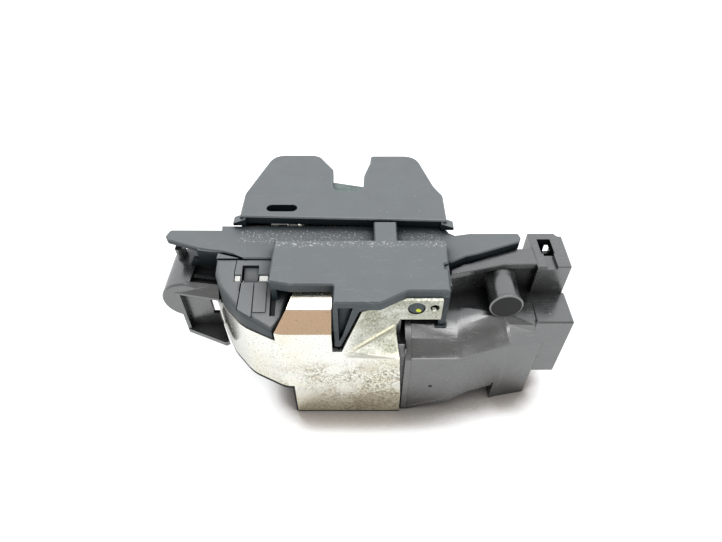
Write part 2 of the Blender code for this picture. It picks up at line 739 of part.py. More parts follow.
def make_carrier(finish):
    """Moulded carrier: two wings, the floor between the covers, and the lobe on the left."""
    low = PLATE_TOP + GAP
    carrier = prism("latch_carrier", wing_outline(), low, CARRIER_TOP, finish, edge=0.0004)
    lobe = drape(prism("lobe", lobe_outline(), LOBE_LOW, CARRIER_TOP - STEP, edge=LOBE_EDGE, steps=3), 0.0530)
    lobe_back = prism("lobe_back", [(-0.0478, -0.0152), (-0.0405, -0.0152), (-0.0405, -0.0137), (-0.0478, -0.0122)],
                      LOBE_LOW + STEP, CARRIER_TOP - STEP)
    shoulder = stack("shoulder", [
        ([(-0.0596, -0.0095), (-0.0464, -0.0114), (-0.0464, -0.0075), (-0.0596, -0.0075)], SHOULDER_LOW),
        ([(-0.0553, -0.0109), (-0.0464, -0.0125), (-0.0464, -0.0085), (-0.0553, -0.0085)], CARRIER_TOP - 0.0004),
    ])
    pads = [
        sunk("left_pad", [(-0.0393, -0.0233), (-0.0394, -0.0317), (-0.0349, -0.0341), (-0.0347, -0.0233)],
             -0.0010, 0.0003),
        sunk("right_pad", box_outline(-0.0344, -0.0326, -0.0304, -0.0233), -0.0010, 0.0003),
    ]
    room = [(-0.0300, LOBE_START + 0.0004), (0.0120, LOBE_START + 0.0004), (0.0120, 0.0060), (-0.0320, 0.0060),
            (-0.0320, 0.0010)]
    cuts = [
        prism("lever_room", room, low - REACH, CARRIER_TOP - 0.0012),
        prism("cam_room", circle((WHEEL_X, WHEEL_Y), CAM_HIGH + 0.0008, 32), low - REACH, CARRIER_TOP - 0.0012),
        prism("slot", rounded([
            (-0.0508, -0.0117), (-0.0465, -0.0132), (-0.0412, -0.0149), (-0.0376, -0.0160), (-0.0382, -0.0154),
            (-0.0427, -0.0131), (-0.0470, -0.0120),
        ]), 0.0500, TOP),
        sunk("pocket", box_outline(-0.0388, -0.0230, -0.0334, -0.0175), -0.0014, REACH),
        sunk("pocket_side", box_outline(-0.0389, -0.0227, -0.0383, -0.0178), -0.0034, REACH),
        sunk("left_slit", [(-0.0390, -0.0225), (-0.0386, -0.0225), (-0.0394, -0.0316), (-0.0399, -0.0316)],
             -0.0014, REACH),
        sunk("seam", [(-0.0411, -0.0155), (-0.0408, -0.0155), (-0.0413, -0.0206), (-0.0416, -0.0206)],
             -0.0005, REACH),
        sunk("groove", [(-0.0291, -0.0238), (-0.0270, -0.0238), (-0.0272, -0.0336), (-0.0290, -0.0336)],
             -0.0026, REACH),
        sunk("bar_room", box_outline(-0.0415, -0.0229, -0.0299, -0.0204), -0.0040, -0.0024),
        prism("wing_room", box_outline(-0.0700, -0.0120, -0.0556, 0.0020), low - REACH, CARRIER_TOP - 0.0017),
        sunk("left_window", box_outline(-0.0414, -0.0228, -0.03915, -0.0205), -0.0030, REACH),
        sunk("right_window", box_outline(-0.0337, -0.0228, -0.0300, -0.0205), -0.0030, REACH),
    ]
    hollow = rounded([(-0.0444, -0.0150), (-0.0446, -0.0240), (-0.0300, -0.0336), (-0.0262, -0.0326),
                      (-0.0244, -0.0240), (-0.0244, -0.0150)])
    room_above = stack("lobe_room", [(hollow, LOBE_LOW - REACH), (hollow, CARRIER_TOP - 0.0054)])
    cuts.append(drape(room_above, LOBE_LOW))
    return built(carrier, [lobe, lobe_back, shoulder, *pads], cuts)


def make_clip_bar(finish):
    """White keeper bar that shows through two windows of the lobe."""
    bar = sunk("clip_bar", box_outline(-0.0412, -0.0226, -0.0302, -0.0207), -0.0037, -0.0028)
    bar.data.materials.append(finish)
    ends = [
        sunk("left_end", box_outline(-0.0412 + STEP, -0.0225, -0.0394, -0.0208), -0.0032, -0.0003),
        sunk("right_end", box_outline(-0.0330, -0.0225, -0.0302 - STEP, -0.0208), -0.0032, -0.0003),
    ]
    return built(bar, ends)


def make_front_cover(finish):
    """Raised cover over the release gear, with its nose in the bracket's gap and one long leg."""
    low = CARRIER_TOP + GAP
    corners = [
        (COVER_LEFT, COVER_BACK, 0.0004),
        (COVER_LEFT, -0.0291, 0.0008),
        (-0.0218, -0.0306, 0.0006),
        (NOSE_LEFT - GAP, -0.0306, 0.0003),
        (NOSE_LEFT - GAP, NOSE_FRONT, 0.0003),
        (NOSE_RIGHT, NOSE_FRONT, 0.0003),
        (0.0147, COVER_FRONT, 0.0006),
        (COVER_RIGHT - 0.0007, COVER_FRONT, 0.0006),
        (COVER_RIGHT - 0.0003, -0.0240, 0.0003),
        (COVER_RIGHT - 0.0014, -0.0235),
        (COVER_RIGHT - 0.0014, -0.0215),
        (COVER_RIGHT - 0.0001, -0.0210, 0.0003),
        (COVER_RIGHT + 0.0003, COVER_BACK, 0.0004),
        (BRIDGE_RIGHT, COVER_BACK),
        (BRIDGE_RIGHT, EAR_FRONT_RIGHT - GAP),
        (BRIDGE_LEFT, EAR_FRONT_RIGHT - GAP),
        (BRIDGE_LEFT, COVER_BACK),
    ]
    cover = prism("front_cover", corners, low, TOP, finish, edge=0.0005)
    nose = [
        (NOSE_LEFT - GAP, TOP - 0.0010),
        (NOSE_RIGHT, TOP - 0.0010),
        (-0.0002, 0.0572),
        (-0.0062, NOSE_TIP),
        (NOSE_LEFT - GAP, NOSE_TIP),
    ]
    boss = prism("nose", nose, NOSE_FRONT + STEP, CORE_FRONT - GAP, axis="Y")
    pocket = [(-0.0067, 0.0592), (-0.0020, 0.0592), (-0.0056, 0.0450), (-0.0067, 0.0425)]
    hollow = prism("nose_pocket", pocket, NOSE_FRONT - REACH, NOSE_FRONT + 0.0018, axis="Y")
    leg = prism("leg", box_outline(LEG_LEFT, LEG_FRONT, LEG_RIGHT, LEG_FRONT + 0.0012), LEG_TOE, TOP - 0.0010)
    toe = prism("toe", box_outline(LEG_LEFT - 0.0008, LEG_FRONT - 0.0005, LEG_RIGHT + 0.0005, LEG_FRONT + 0.0011),
                LEG_TOE - STEP, LEG_TOE + 0.0008)
    side = prism("side", box_outline(LEG_LEFT + 0.0008, LEG_FRONT + 0.0010, LEG_RIGHT - STEP, LOBE_START - 0.0044),
                 MOTOR_BOX_TOP + GAP, TOP - 0.0010)
    tab_face = WALL_FRONT + TAB_BACK + SHEET + GAP
    block = prism("block", box_outline(STUD_X - 0.0038, tab_face, LEG_LEFT + 0.0012, tab_face + 0.0030),
                  TAB_LOW + 0.0010, TOP - 0.0010)
    stud = prism("stud", circle((STUD_X, STUD_Z), STUD_RADIUS, 24), tab_face - SHEET, tab_face + 0.0010, axis="Y")
    left_side = prism("left_side", box_outline(COVER_LEFT + 0.0004, -0.0288, COVER_LEFT + 0.0022, -0.0176),
                      CARRIER_TOP, TOP - 0.0010)
    for vertex in left_side.data.vertices:
        if vertex.co.z < CARRIER_TOP + STEP:
            vertex.co.z = slope_height(vertex.co.y) + GAP
    return built(cover, [boss, leg, toe, side, block, stud, left_side], [hollow])


def blend(first, second, share):
    """Points part of the way from one outline to another."""
    return [tuple(Vector(p).lerp(Vector(q), share)) for p, q in zip(first, second)]


def motor_box_rings(shrink, low):
    """Rings of the motor box: a straight wall, then a top that swells up towards the back."""
    back = [(0.0600, -0.0123), (BOX_BACK_RIGHT, -0.0123), (BOX_BACK_RIGHT, BOX_BACK), (BOX_STEP, BOX_BACK)]
    foot = [(BOX_STEP, -0.0385, 0.0012), (0.0338, -0.0383, 0.010), (0.0523, -0.0330, 0.014),
            (0.0642, -0.0307, 0.0015), (0.0642, -0.0262), *back]
    brow = [(BOX_STEP, -0.0215, 0.0012), (0.0338, -0.0235, 0.010), (0.0480, -0.0264, 0.014),
            (0.0590, -0.0303, 0.0015), (0.0592, -0.0262), *back]
    wall = rounded(shrunk(foot, shrink))
    edge = rounded(shrunk(foot, shrink + 0.0005))
    crown = rounded(shrunk(brow, shrink))
    swell = MOTOR_BOX_TOP - SWELL_LOW
    rings = [(wall, low), (wall, SWELL_LOW - shrink - 0.0009)]
    for share in (0.0, 0.12, 0.30, 0.55, 1.0):
        height = SWELL_LOW - shrink + swell * (1 - (1 - share) ** SWELL_POWER)
        rings.append((blend(edge, crown, share), height))
    return rings


def under_profile(low, thickness):
    """Side view of the lid: level, then lifted towards the right."""
    return [
        (BOX_LEFT - 0.0100, low), (BOX_LEFT - 0.0100, thickness), (LIFT_START - thickness * 0.2, thickness),
        (LIFT_END - thickness * 0.2, LIFT + thickness), (FOOT_LEFT, LIFT + thickness), (FOOT_LEFT, low),
    ]


def left_end_solids():
    """Solids of the housing's left end and the rooms cut from it."""
    tip_x = BAND_CORNERS[-1][0]
    band = [(CORE_LEFT + 0.0010, WALL_FRONT), *BAND_CORNERS[:-1], (tip_x, BAND_CORNERS[-1][1]), (tip_x, 0.0),
            (CORE_LEFT + 0.0010, 0.0)]
    body = shrunk(band, SHEET + GAP + STEP)
    outer = [
        (NICHE_LEFT, -0.0192), (-0.0490, -0.0256), (-0.0477, -0.0249), (-0.0517, -0.0160), (-0.0517, -0.0151),
        (NICHE_LEFT, -0.0151),
    ]
    add = [
        prism("left_body", body, BAND_LOW, BAND_TOP - GAP),
        prism("niche_floor", outer, NICHE_FLOOR - 0.0020, NICHE_FLOOR),
        prism("niche_back", box_outline(NICHE_LEFT + STEP, NICHE_BACK, -0.0518, NICHE_BACK + 0.0015),
              NICHE_FLOOR - STEP, NICHE_TOP),
        prism("niche_post", box_outline(NICHE_LEFT, -0.0192 + STEP, NICHE_LEFT + POST, -0.0030),
              NICHE_FLOOR - 2 * STEP, NICHE_TOP),
        prism("niche_rear", box_outline(NICHE_LEFT + 2 * STEP, NICHE_BACK + STEP, -0.0580, -0.0021),
              NICHE_FLOOR - 3 * STEP, NICHE_TOP - STEP),
        prism("slab_root", box_outline(tip_x + SHEET + GAP + 3 * STEP, -0.0110, SLAB_RIGHT - 2 * STEP, -0.0024),
              BAND_TOP - 0.0020, BAND_TOP + 0.0020),
        stack("slab", [
            ([(-0.0628, -0.0193), (SLAB_RIGHT, -0.0221), (SLAB_RIGHT, -0.0022), (-0.0628, -0.0022)],
             BAND_TOP + GAP),
            ([(-0.0628, -0.0193), (SLAB_RIGHT, -0.0221), (SLAB_RIGHT, -0.0022), (-0.0628, -0.0022)],
             NICHE_TOP),
            ([(-0.0600, -0.0174), (SLAB_RIGHT, -0.0190), (SLAB_RIGHT, -0.0022), (-0.0600, -0.0022)],
             LEFT_TOP),
        ]),
        stack("drum", [
            (circle((DRUM_X, DRUM_Z), DRUM_RADIUS - 0.0006, 40), DRUM_FRONT),
            (circle((DRUM_X, DRUM_Z), DRUM_RADIUS, 40), DRUM_FRONT + 0.0006),
            (circle((DRUM_X, DRUM_Z), DRUM_RADIUS, 40), DRUM_BACK),
        ], axis="Y"),
        prism("drum_rib", rounded([(-0.0652, -0.0066, 0.0008), (-0.0627, -0.0066, 0.0008), (-0.0627, -0.0024),
                                   (-0.0652, -0.0024)], 2), 0.0440, PLATE_TOP),
    ]
    cut = [
        prism("left_room", [(-0.0262, -0.0352), (-0.0450, -0.0238), (-0.0500, -0.0140), (-0.0500, -0.0040),
                            (-0.0262, -0.0040)], BAND_LOW - REACH, BAND_TOP - GAP - WALL),
        prism("rear_room", box_outline(NICHE_LEFT + WALL, NICHE_BACK + WALL, -0.0598, -0.0040),
              NICHE_FLOOR - 0.0040, DRUM_Z - 0.0020),
        prism("niche", box_outline(NICHE_LEFT + POST, -0.0300, -0.0500, NICHE_BACK), NICHE_FLOOR + STEP,
              BAND_TOP + GAP - STEP),
        prism("band_room", box_outline(tip_x - GAP, NICHE_BACK - REACH, -0.0500, BAND_CORNERS[-1][1] + 0.0008), 0.0310,
              BAND_TOP + GAP - 2 * STEP),
        prism("pocket", [(-0.0584, -0.0176), (-0.0440, -0.0196), (-0.0440, -0.0114), (-0.0580, -0.0094)],
              LEFT_TOP - 0.0022, LEFT_TOP + REACH),
    ]
    bar = prism("pocket_bar", [(-0.0582, -0.0146), (SLAB_RIGHT - STEP, -0.0162), (SLAB_RIGHT - STEP, -0.0146),
                               (-0.0582, -0.0130)], LEFT_TOP - 0.0030, LEFT_TOP - 0.0008)
    return add, cut, bar


def corner_rib_profile():
    """Side view of the rib that runs up the box's front and over its swelling top."""
    proud = 0.0005
    profile = [(-0.0365, STEP), (-0.0385 - proud, STEP), (-0.0385 - proud, SWELL_LOW)]
    for step in range(6):
        share = step / 5
        height = SWELL_LOW + (MOTOR_BOX_TOP - SWELL_LOW) * (1 - (1 - share) ** SWELL_POWER)
        profile.append((-0.0383 + 0.0168 * share, height + proud))
    return [*profile, (-0.0215, MOTOR_BOX_TOP - 0.0015), (-0.0365, SWELL_LOW - 0.0020)]


def right_end_solids():
    """Solids of the ledge, the clip tower, the connector and the round boss, with their rooms."""
    wall = [
        (0.0280, -0.0190), (0.0489, -0.0147), (0.0610, -0.0147), (0.0610, -0.0122), (0.0489, -0.0122),
        (0.0280, -0.0165),
    ]
    ledge = [
        (0.0301, -0.0206), (0.0489, -0.0157), (0.0617, -0.0156), (0.0617, -0.0076), (0.0542, -0.0080),
        (0.0408, -0.0134), (0.0304, -0.0178),
    ]
    tower = rounded([
        (TOWER_LEFT, TOWER_FRONT), (TOWER_RIGHT - 0.0003, TOWER_FRONT, 0.0006), (TOWER_RIGHT, -0.0018),
        (0.0700, -0.0016), (0.0690, TOWER_BACK), (TOWER_LEFT, TOWER_BACK),
    ], 2)
    connector = [(x, y, 0.0006) for x, y in box_outline(SOCKET_LEFT, SOCKET_FRONT, SOCKET_RIGHT, SOCKET_BACK)]
    socket = [(x, y, 0.0010) for x, y in box_outline(
        SOCKET_LEFT + SOCKET_WALL, SOCKET_FRONT + SOCKET_WALL, SOCKET_RIGHT - SOCKET_WALL, SOCKET_BACK - SOCKET_WALL)]
    boss_rings = []
    for radius, y in (
        (BOSS_ROOT, -0.0126), (BOSS_ROOT, -0.0168), (BOSS_RADIUS + STEP, -0.0180), (BOSS_RADIUS, BOSS_END + 0.0014),
        (BOSS_RADIUS + 0.0004, BOSS_END + 0.0009), (BOSS_RADIUS + 0.0004, BOSS_END + 0.0003),
        (BOSS_RADIUS - 0.0002, BOSS_END),
    ):
        boss_rings.append((circle((BOSS_X, BOSS_Z), radius, 32), y))
    add = [
        prism("ledge_wall", wall, MOTOR_BOX_TOP - 0.0010, LEDGE_TOP - LEDGE_THICKNESS + STEP),
        prism("ledge", ledge, LEDGE_TOP - LEDGE_THICKNESS, LEDGE_TOP, edge=0.0003),
        prism("tower", tower, MOTOR_BOX_TOP - 0.0012, LEDGE_TOP + 2 * STEP, edge=0.0003),
        prism("connector", rounded(connector, 2), SOCKET_BOTTOM, MOTOR_BOX_TOP - STEP, edge=0.0005),
        stack("boss", boss_rings, axis="Y"),
        prism("corner_rib", corner_rib_profile(), BOX_STEP + STEP, BOX_STEP + 0.0021, axis="X"),
    ]
    hole = box_outline(HOLE_LEFT, HOLE_FRONT, HOLE_RIGHT, HOLE_BACK)
    groove = box_outline(HOLE_LEFT + 0.0006, TOWER_FRONT - REACH, HOLE_RIGHT - 0.0004, HOLE_FRONT + STEP)
    inside = box_outline(TOWER_LEFT + 0.0020, TOWER_FRONT + 0.0020, TOWER_RIGHT - 0.0020, TOWER_BACK - 0.0016)
    cut = [
        prism("tower_room", inside, MOTOR_BOX_TOP + 3 * STEP, LEDGE_TOP - 0.0026),
        prism("tower_hole", hole, MOTOR_BOX_TOP + 0.0010, LEDGE_TOP + REACH),
        prism("tower_groove", groove, LEDGE_TOP - 0.0009, LEDGE_TOP + REACH),
        prism("tower_window", box_outline(0.0664, TOWER_BACK - 0.0030, 0.0690, TOWER_BACK + REACH), 0.0470, 0.0515),
        prism("socket", rounded(socket, 2), SOCKET_BOTTOM - REACH, SOCKET_BOTTOM + SOCKET_DEPTH),
    ]
    return add, cut


def make_housing(finish):
    """One-piece moulded housing: gear core, motor box, ledge and tower, connector and left end."""
    low_box = box_outline(BOX_LEFT, BOX_FRONT, BOX_STEP + 3 * STEP, BOX_BACK - STEP)
    housing = prism("housing", low_box, 0.0, NOSE_LEDGE, finish)
    core = box_outline(CORE_LEFT, CORE_FRONT, CORE_RIGHT, BOX_BACK - 2 * STEP)
    left_add, left_cut, pocket_bar = left_end_solids()
    right_add, right_cut = right_end_solids()
    add = [
        prism("core", core, 0.0200, HOUSING_TOP, edge=0.0024, steps=2),
        stack("motor_box", motor_box_rings(0.0, 0.0)),
        prism("rear", box_outline(BOX_STEP + 0.0010, -0.0160, BOX_BACK_RIGHT - STEP, BOX_BACK - 3 * STEP), 0.0200,
              MOTOR_BOX_TOP + STEP),
        *left_add,
        *right_add,
    ]
    room = box_outline(BOX_LEFT + WALL, BOX_FRONT + WALL, BOX_STEP - 2 * STEP, BOX_BACK - WALL)
    core_room = box_outline(CORE_LEFT + WALL, CORE_FRONT + WALL + 0.0014, CORE_RIGHT - WALL, BOX_BACK - WALL - STEP)
    low_right = [
        (BOX_STEP + WALL, -0.0365), (0.0330, -0.0362), (0.0474, -0.0322), (0.0474, BOX_BACK - WALL + STEP),
        (BOX_STEP + WALL, BOX_BACK - WALL + STEP),
    ]
    motor_bay = box_outline(BOX_STEP - 0.0043, -0.0195, 0.0405, BOX_BACK - WALL + 2 * STEP)
    arm_room = [(0.0050, -0.0380), (0.0150, -0.0380), (0.0150, -0.0318), (0.0130, -0.0318), (0.0050, -0.0340)]
    crease_room = [(-0.0400, 0.0336), (-0.0378, 0.0336), (-0.0351, 0.0385), (-0.0400, 0.0385)]
    cut = [
        prism("under", under_profile(-REACH, BOTTOM_COVER + GAP), -0.0500, 0.0100, axis="Y"),
        prism("behind_foot", box_outline(FOOT_LEFT - REACH, FOOT_BACK, 0.0700, 0.0100), -REACH, LIFT),
        *left_cut,
        *right_cut,
        prism("room", room, -REACH, NOSE_LEDGE - WALL),
        prism("core_room", core_room, 0.0300, HOUSING_TOP - 0.0030),
        prism("arm_room", arm_room, 0.0386, TOP),
        prism("crease_room", crease_room, -0.0005, BOX_STEP - STEP, axis="X"),
        prism("rivet_room", circle((LEVER_X, LEVER_Y), 0.0031, 24), HOUSING_TOP - 0.0017, TOP),
        prism("low_right_room", low_right, -REACH, 0.0180),
        stack("motor_room", motor_box_rings(WALL + 2 * STEP, LIFT + WALL)),
        prism("motor_bay", motor_bay, -REACH, MOTOR_BOX_TOP - WALL - STEP),
        prism("hub_hole", circle((WHEEL_X, WHEEL_Y), HUB_RADIUS + 0.0004), 0.0400, TOP),
        prism("foot_room", box_outline(FOOT_LEFT + WALL, -0.0300, 0.0620, FOOT_BACK - WALL), -REACH, LIFT - WALL),
    ]
    built(housing, add, cut)
    bosses = [pocket_bar]
    holes = []
    for index, (x, y) in enumerate(PLATE_SCREWS):
        bosses.append(prism(f"plate_boss_{index}", circle((x, y), 0.0032, 20), HOUSING_TOP - 0.0090,
                            HOUSING_TOP - 0.0010))
        holes.append(prism(f"thread_{index}", circle((x, y), 0.0013 + GAP, 16), HOUSING_TOP - 0.0080, TOP))
    for index, (x, y, lift) in enumerate(COVER_SCREWS):
        low = lift + BOTTOM_COVER + GAP
        bosses.append(prism(f"pillar_{index}", circle((x, y), 0.0030, 20), low + STEP,
                            PILLAR_TOPS[index]))
        holes.append(prism(f"pilot_{index}", circle((x, y), 0.0013 + GAP, 16), low - REACH, low + 0.0090))
    return built(housing, bosses, holes, smooth=32)


def make_bottom_cover(finish):
    """Lid under the motor box, with the cradles that hold the motor and the wheel's pedestal."""
    plan = [
        (BOX_LEFT, BOX_FRONT), (BOX_STEP, BOX_FRONT), (BOX_STEP, -0.0384), (0.0330, -0.0382),
        (FOOT_LEFT - GAP, -0.0334), (FOOT_LEFT - GAP, BOX_BACK), (BOX_LEFT, BOX_BACK),
    ]
    cover = prism("bottom_cover", plan, -REACH, LIFT + 2 * BOTTOM_COVER, finish)
    above = [(x, z) for x, z in under_profile(0.0300, BOTTOM_COVER)]
    above[4] = (FOOT_LEFT + REACH, LIFT + BOTTOM_COVER)
    above[5] = (FOOT_LEFT + REACH, 0.0300)
    below = [(x, z) for x, z in under_profile(-0.0100, 0.0)]
    below[3] = (LIFT_END, LIFT)
    below[4] = (FOOT_LEFT + REACH, LIFT)
    below[5] = (FOOT_LEFT + REACH, -0.0100)
    shape = [prism("above", above, -0.0500, 0.0100, axis="Y"), prism("below", below, -0.0500, 0.0100, axis="Y")]
    built(cover, (), shape)
    add = []
    cut = []
    for index, (x, low) in enumerate(((MOTOR_LEFT + 0.0040, 0.0012), (MOTOR_LEFT + MOTOR_LENGTH - 0.0060, 0.0085))):
        outline = box_outline(WORM_Y - 0.0070, low, WORM_Y + 0.0070, WHEEL_MIDDLE - 0.0040)
        add.append(prism(f"cradle_{index}", outline, x, x + 0.0022, axis="X"))
    cut.append(prism("motor_bed", motor_outline(GAP), MOTOR_LEFT - REACH, MOTOR_LEFT + MOTOR_LENGTH + REACH,
                     axis="X"))
    add.append(prism("pedestal", circle((WHEEL_X, WHEEL_Y), 0.0036, 32), BOTTOM_COVER - 0.0005,
                     WHEEL_MIDDLE - WHEEL_WIDTH / 2 - GAP))
    cut.append(prism("axle_seat", circle((WHEEL_X, WHEEL_Y), AXLE_RADIUS + GAP), 0.0030, TOP))
    post = box_outline(WORM_Y - 0.0030, BOTTOM_COVER - 0.0005, WORM_Y + 0.0030, WHEEL_MIDDLE + 0.0028)
    post_right = WHEEL_X - WORM_LENGTH / 2 - 0.0006
    add.append(prism("bearing_post", post, post_right - 0.0024, post_right, axis="X"))
    cut.append(prism("bearing", circle((WORM_Y, WHEEL_MIDDLE), SHAFT_RADIUS + RUNNING), post_right - 0.0040,
                     post_right + REACH, axis="X"))
    for index, (x, y, lift) in enumerate(COVER_SCREWS):
        cut.append(stack(f"sink_{index}", [
            (circle((x, y), 0.0030 + GAP, 20), lift - REACH),
            (circle((x, y), 0.0030 + GAP, 20), lift + 0.0003),
            (circle((x, y), 0.0013 + GAP, 20), lift + 0.0015),
            (circle((x, y), 0.0013 + GAP, 20), lift + BOTTOM_COVER + REACH),
        ]))
    return built(cover, add, cut)


def motor_outline(grow=0.0):
    """Section of the motor can: a circle with flats above and below."""
    radius = MOTOR_RADIUS + grow
    flat = MOTOR_FLAT + grow
    edge = math.degrees(math.asin(flat / radius))
    centre = (WORM_Y, WHEEL_MIDDLE)
    return arc(centre, radius, -edge, edge, 10) + arc(centre, radius, 180 - edge, 180 + edge, 10)


def make_motor(steel, plastic, brass):
    """Small flat-sided motor: can, end cap and two terminals."""
    right = MOTOR_LEFT + MOTOR_LENGTH
    can = prism("motor_can", motor_outline(), MOTOR_LEFT, right - 0.0030, steel, axis="X")
    collar = prism("collar", circle((WORM_Y, WHEEL_MIDDLE), 0.0031, 24), MOTOR_LEFT - 0.0012, MOTOR_LEFT + 0.0010,
                   axis="X")
    bore = prism("shaft_room", circle((WORM_Y, WHEEL_MIDDLE), SHAFT_RADIUS + RUNNING), MOTOR_LEFT - REACH,
                 right - 0.0030 - 0.0010, axis="X")
    built(can, [collar], [bore])
    prism("motor_cap", shrunk(motor_outline(), 0.0002), right - 0.0030 + GAP, right, plastic, axis="X", edge=0.0006)
    for index, side in enumerate((-1, 1)):
        y = WORM_Y + side * 0.0045
        outline = box_outline(y - 0.0012, WHEEL_MIDDLE - 0.0003, y + 0.0012, WHEEL_MIDDLE + 0.0003)
        prism(f"motor_terminal_{index + 1}", outline, right + GAP, right + 0.0045, brass, axis="X")


def make_worm(steel, plastic):
    """Worm on the motor's shaft: a right-hand thread of one start."""
    left = WHEEL_X - WORM_LENGTH / 2
    core = prism("worm", circle((WORM_Y, WHEEL_MIDDLE), WORM_RADIUS - TOOTH_DEPTH, 24), left, left + WORM_LENGTH,
                 plastic, axis="X")
    turns = WORM_LENGTH / PITCH - 0.6
    steps = int(18 * turns)
    start = -math.pi * turns
    bm = bmesh.new()
    rings = []
    for step in range(steps + 1):
        angle = start + 2 * math.pi * turns * step / steps
        centre = WHEEL_X + PITCH / 2 + PITCH * angle / (2 * math.pi)
        around = math.pi + angle
        ring = []
        for radius in (WORM_RADIUS - TOOTH_DEPTH - 0.0003, WORM_RADIUS + TOOTH_HEIGHT):
            half = TOOTH_THICKNESS / 2 + (WORM_RADIUS - radius) * math.tan(FLANK)
            sides = (-half, half) if radius < WORM_RADIUS else (half, -half)
            for side in sides:
                ring.append(bm.verts.new((centre + side, WORM_Y + radius * math.cos(around),
                                          WHEEL_MIDDLE + radius * math.sin(around))))
        rings.append(ring)
    for ring, following in zip(rings, rings[1:]):
        for index in range(4):
            after = (index + 1) % 4
            bm.faces.new((ring[index], ring[after], following[after], following[index]))
    bm.faces.new(rings[0])
    bm.faces.new(rings[-1])
    thread = finish_object("thread", bm, None)
    bore = prism("worm_bore", circle((WORM_Y, WHEEL_MIDDLE), SHAFT_RADIUS + RUNNING, 24), left - REACH,
                 left + WORM_LENGTH + REACH, axis="X")
    built(core, [thread], [bore])
    on_axis(core, WHEEL_X, WORM_Y, WHEEL_MIDDLE)
    shaft = prism("motor_shaft", circle((WORM_Y, WHEEL_MIDDLE), SHAFT_RADIUS, 24), left - 0.0030,
                  MOTOR_LEFT + MOTOR_LENGTH - 0.0045, steel, axis="X")
    on_axis(shaft, WHEEL_X, WORM_Y, WHEEL_MIDDLE)


def make_wheel(finish):
    """Worm wheel with helical teeth and a hub that reaches up to the cam."""
    low = WHEEL_MIDDLE - WHEEL_WIDTH / 2
    high = WHEEL_MIDDLE + WHEEL_WIDTH / 2
    slant = PITCH / (2 * math.pi * WORM_RADIUS) / WHEEL_RADIUS

    def tooth_ring(height):
        outline = []
        for tooth in range(WHEEL_TEETH):
            middle = math.pi / 2 + 2 * math.pi * tooth / WHEEL_TEETH + slant * (height - WHEEL_MIDDLE)
            for radius, side in (
                (WHEEL_RADIUS - TOOTH_DEPTH, -1), (WHEEL_RADIUS + TOOTH_HEIGHT, -1),
                (WHEEL_RADIUS + TOOTH_HEIGHT, 1), (WHEEL_RADIUS - TOOTH_DEPTH, 1),
            ):
                half = TOOTH_THICKNESS / 2 + (WHEEL_RADIUS - radius) * math.tan(FLANK)
                angle = middle + side * half / radius
                outline.append((WHEEL_X + radius * math.cos(angle), WHEEL_Y + radius * math.sin(angle)))
        return outline

    wheel = stack("worm_wheel", [(tooth_ring(low), low), (tooth_ring(high), high)], finish)
    cam_low = PLATE_TOP + 2 * GAP
    hub = prism("hub", circle((WHEEL_X, WHEEL_Y), HUB_RADIUS), high - 0.0030, cam_low - GAP)
    spigot = prism("spigot", circle((WHEEL_X, WHEEL_Y), 0.0030), high, cam_low + LEVER_THICKNESS)
    bore = prism("wheel_bore", circle((WHEEL_X, WHEEL_Y), AXLE_RADIUS + RUNNING), low - REACH, TOP)
    web = stack("web", [
        (circle((WHEEL_X, WHEEL_Y), WHEEL_RADIUS - 0.0024), high - 0.0012),
        (circle((WHEEL_X, WHEEL_Y), WHEEL_RADIUS - 0.0024), high + REACH),
    ])
    combine(wheel, web, "DIFFERENCE")
    settle(wheel)
    built(wheel, [hub, spigot], [bore])
    return on_axis(wheel, WHEEL_X, WHEEL_Y, low)


def make_cam(finish):
    """Release cam: its radius grows evenly over the working turn."""
    steps = 24
    outline = []
    for step in range(steps + 1):
        angle = math.pi / 2 - CAM_TURN * step / steps
        radius = CAM_LOW + (CAM_HIGH - CAM_LOW) * step / steps
        outline.append((WHEEL_X + radius * math.cos(angle), WHEEL_Y + radius * math.sin(angle)))
    end = math.degrees(math.pi / 2 - CAM_TURN)
    outline += arc((WHEEL_X, WHEEL_Y), HUB_RADIUS + 0.0016, end - 30, end - 200, 14)
    outline += arc((WHEEL_X, WHEEL_Y), CAM_LOW, 130, 94, 3)
    low = PLATE_TOP + 2 * GAP
    cam = prism("release_cam", outline, low, low + LEVER_THICKNESS, finish)
    bore = prism("cam_bore", circle((WHEEL_X, WHEEL_Y), 0.0030 + GAP), low - REACH, TOP)
    built(cam, (), [bore])
    return on_axis(cam, WHEEL_X, WHEEL_Y, low)


def make_lever(finish):
    """Release lever: one arm rides on the cam, the other pushes the pawl's tail."""
    low = PLATE_TOP + 2 * GAP
    flank = WHEEL_Y + CAM_LOW + GAP
    hub = circle((LEVER_X, LEVER_Y), LEVER_HUB, 28)
    lever = prism("release_lever", hub, low, low + LEVER_THICKNESS, finish)
    arm = [
        (LEVER_X, flank), (WHEEL_X + 0.0010, flank), (WHEEL_X + 0.0022, flank + 0.0010),
        (WHEEL_X + 0.0010, flank + 0.0026), (LEVER_X, LEVER_Y + 0.0016),
    ]
    tip = (TAIL_RIGHT + GAP + 0.0015, TAIL_END + 0.0025)
    finger = [
        (LEVER_X - 0.0032, LEVER_Y), (LEVER_X + 0.0016, LEVER_Y + 0.0020), (tip[0] + 0.0015, tip[1]),
        (tip[0] - 0.0012, tip[1]),
    ]
    add = [
        prism("lever_arm", arm, low, low + LEVER_THICKNESS),
        prism("lever_finger", finger, low, low + LEVER_THICKNESS),
        prism("lever_tip", circle(tip, 0.0015, 24), low, low + LEVER_THICKNESS),
    ]
    bore = prism("lever_bore", circle((LEVER_X, LEVER_Y), LEVER_BORE + RUNNING), low - REACH, TOP)
    built(lever, add, [bore])
    return on_axis(lever, LEVER_X, LEVER_Y, low)


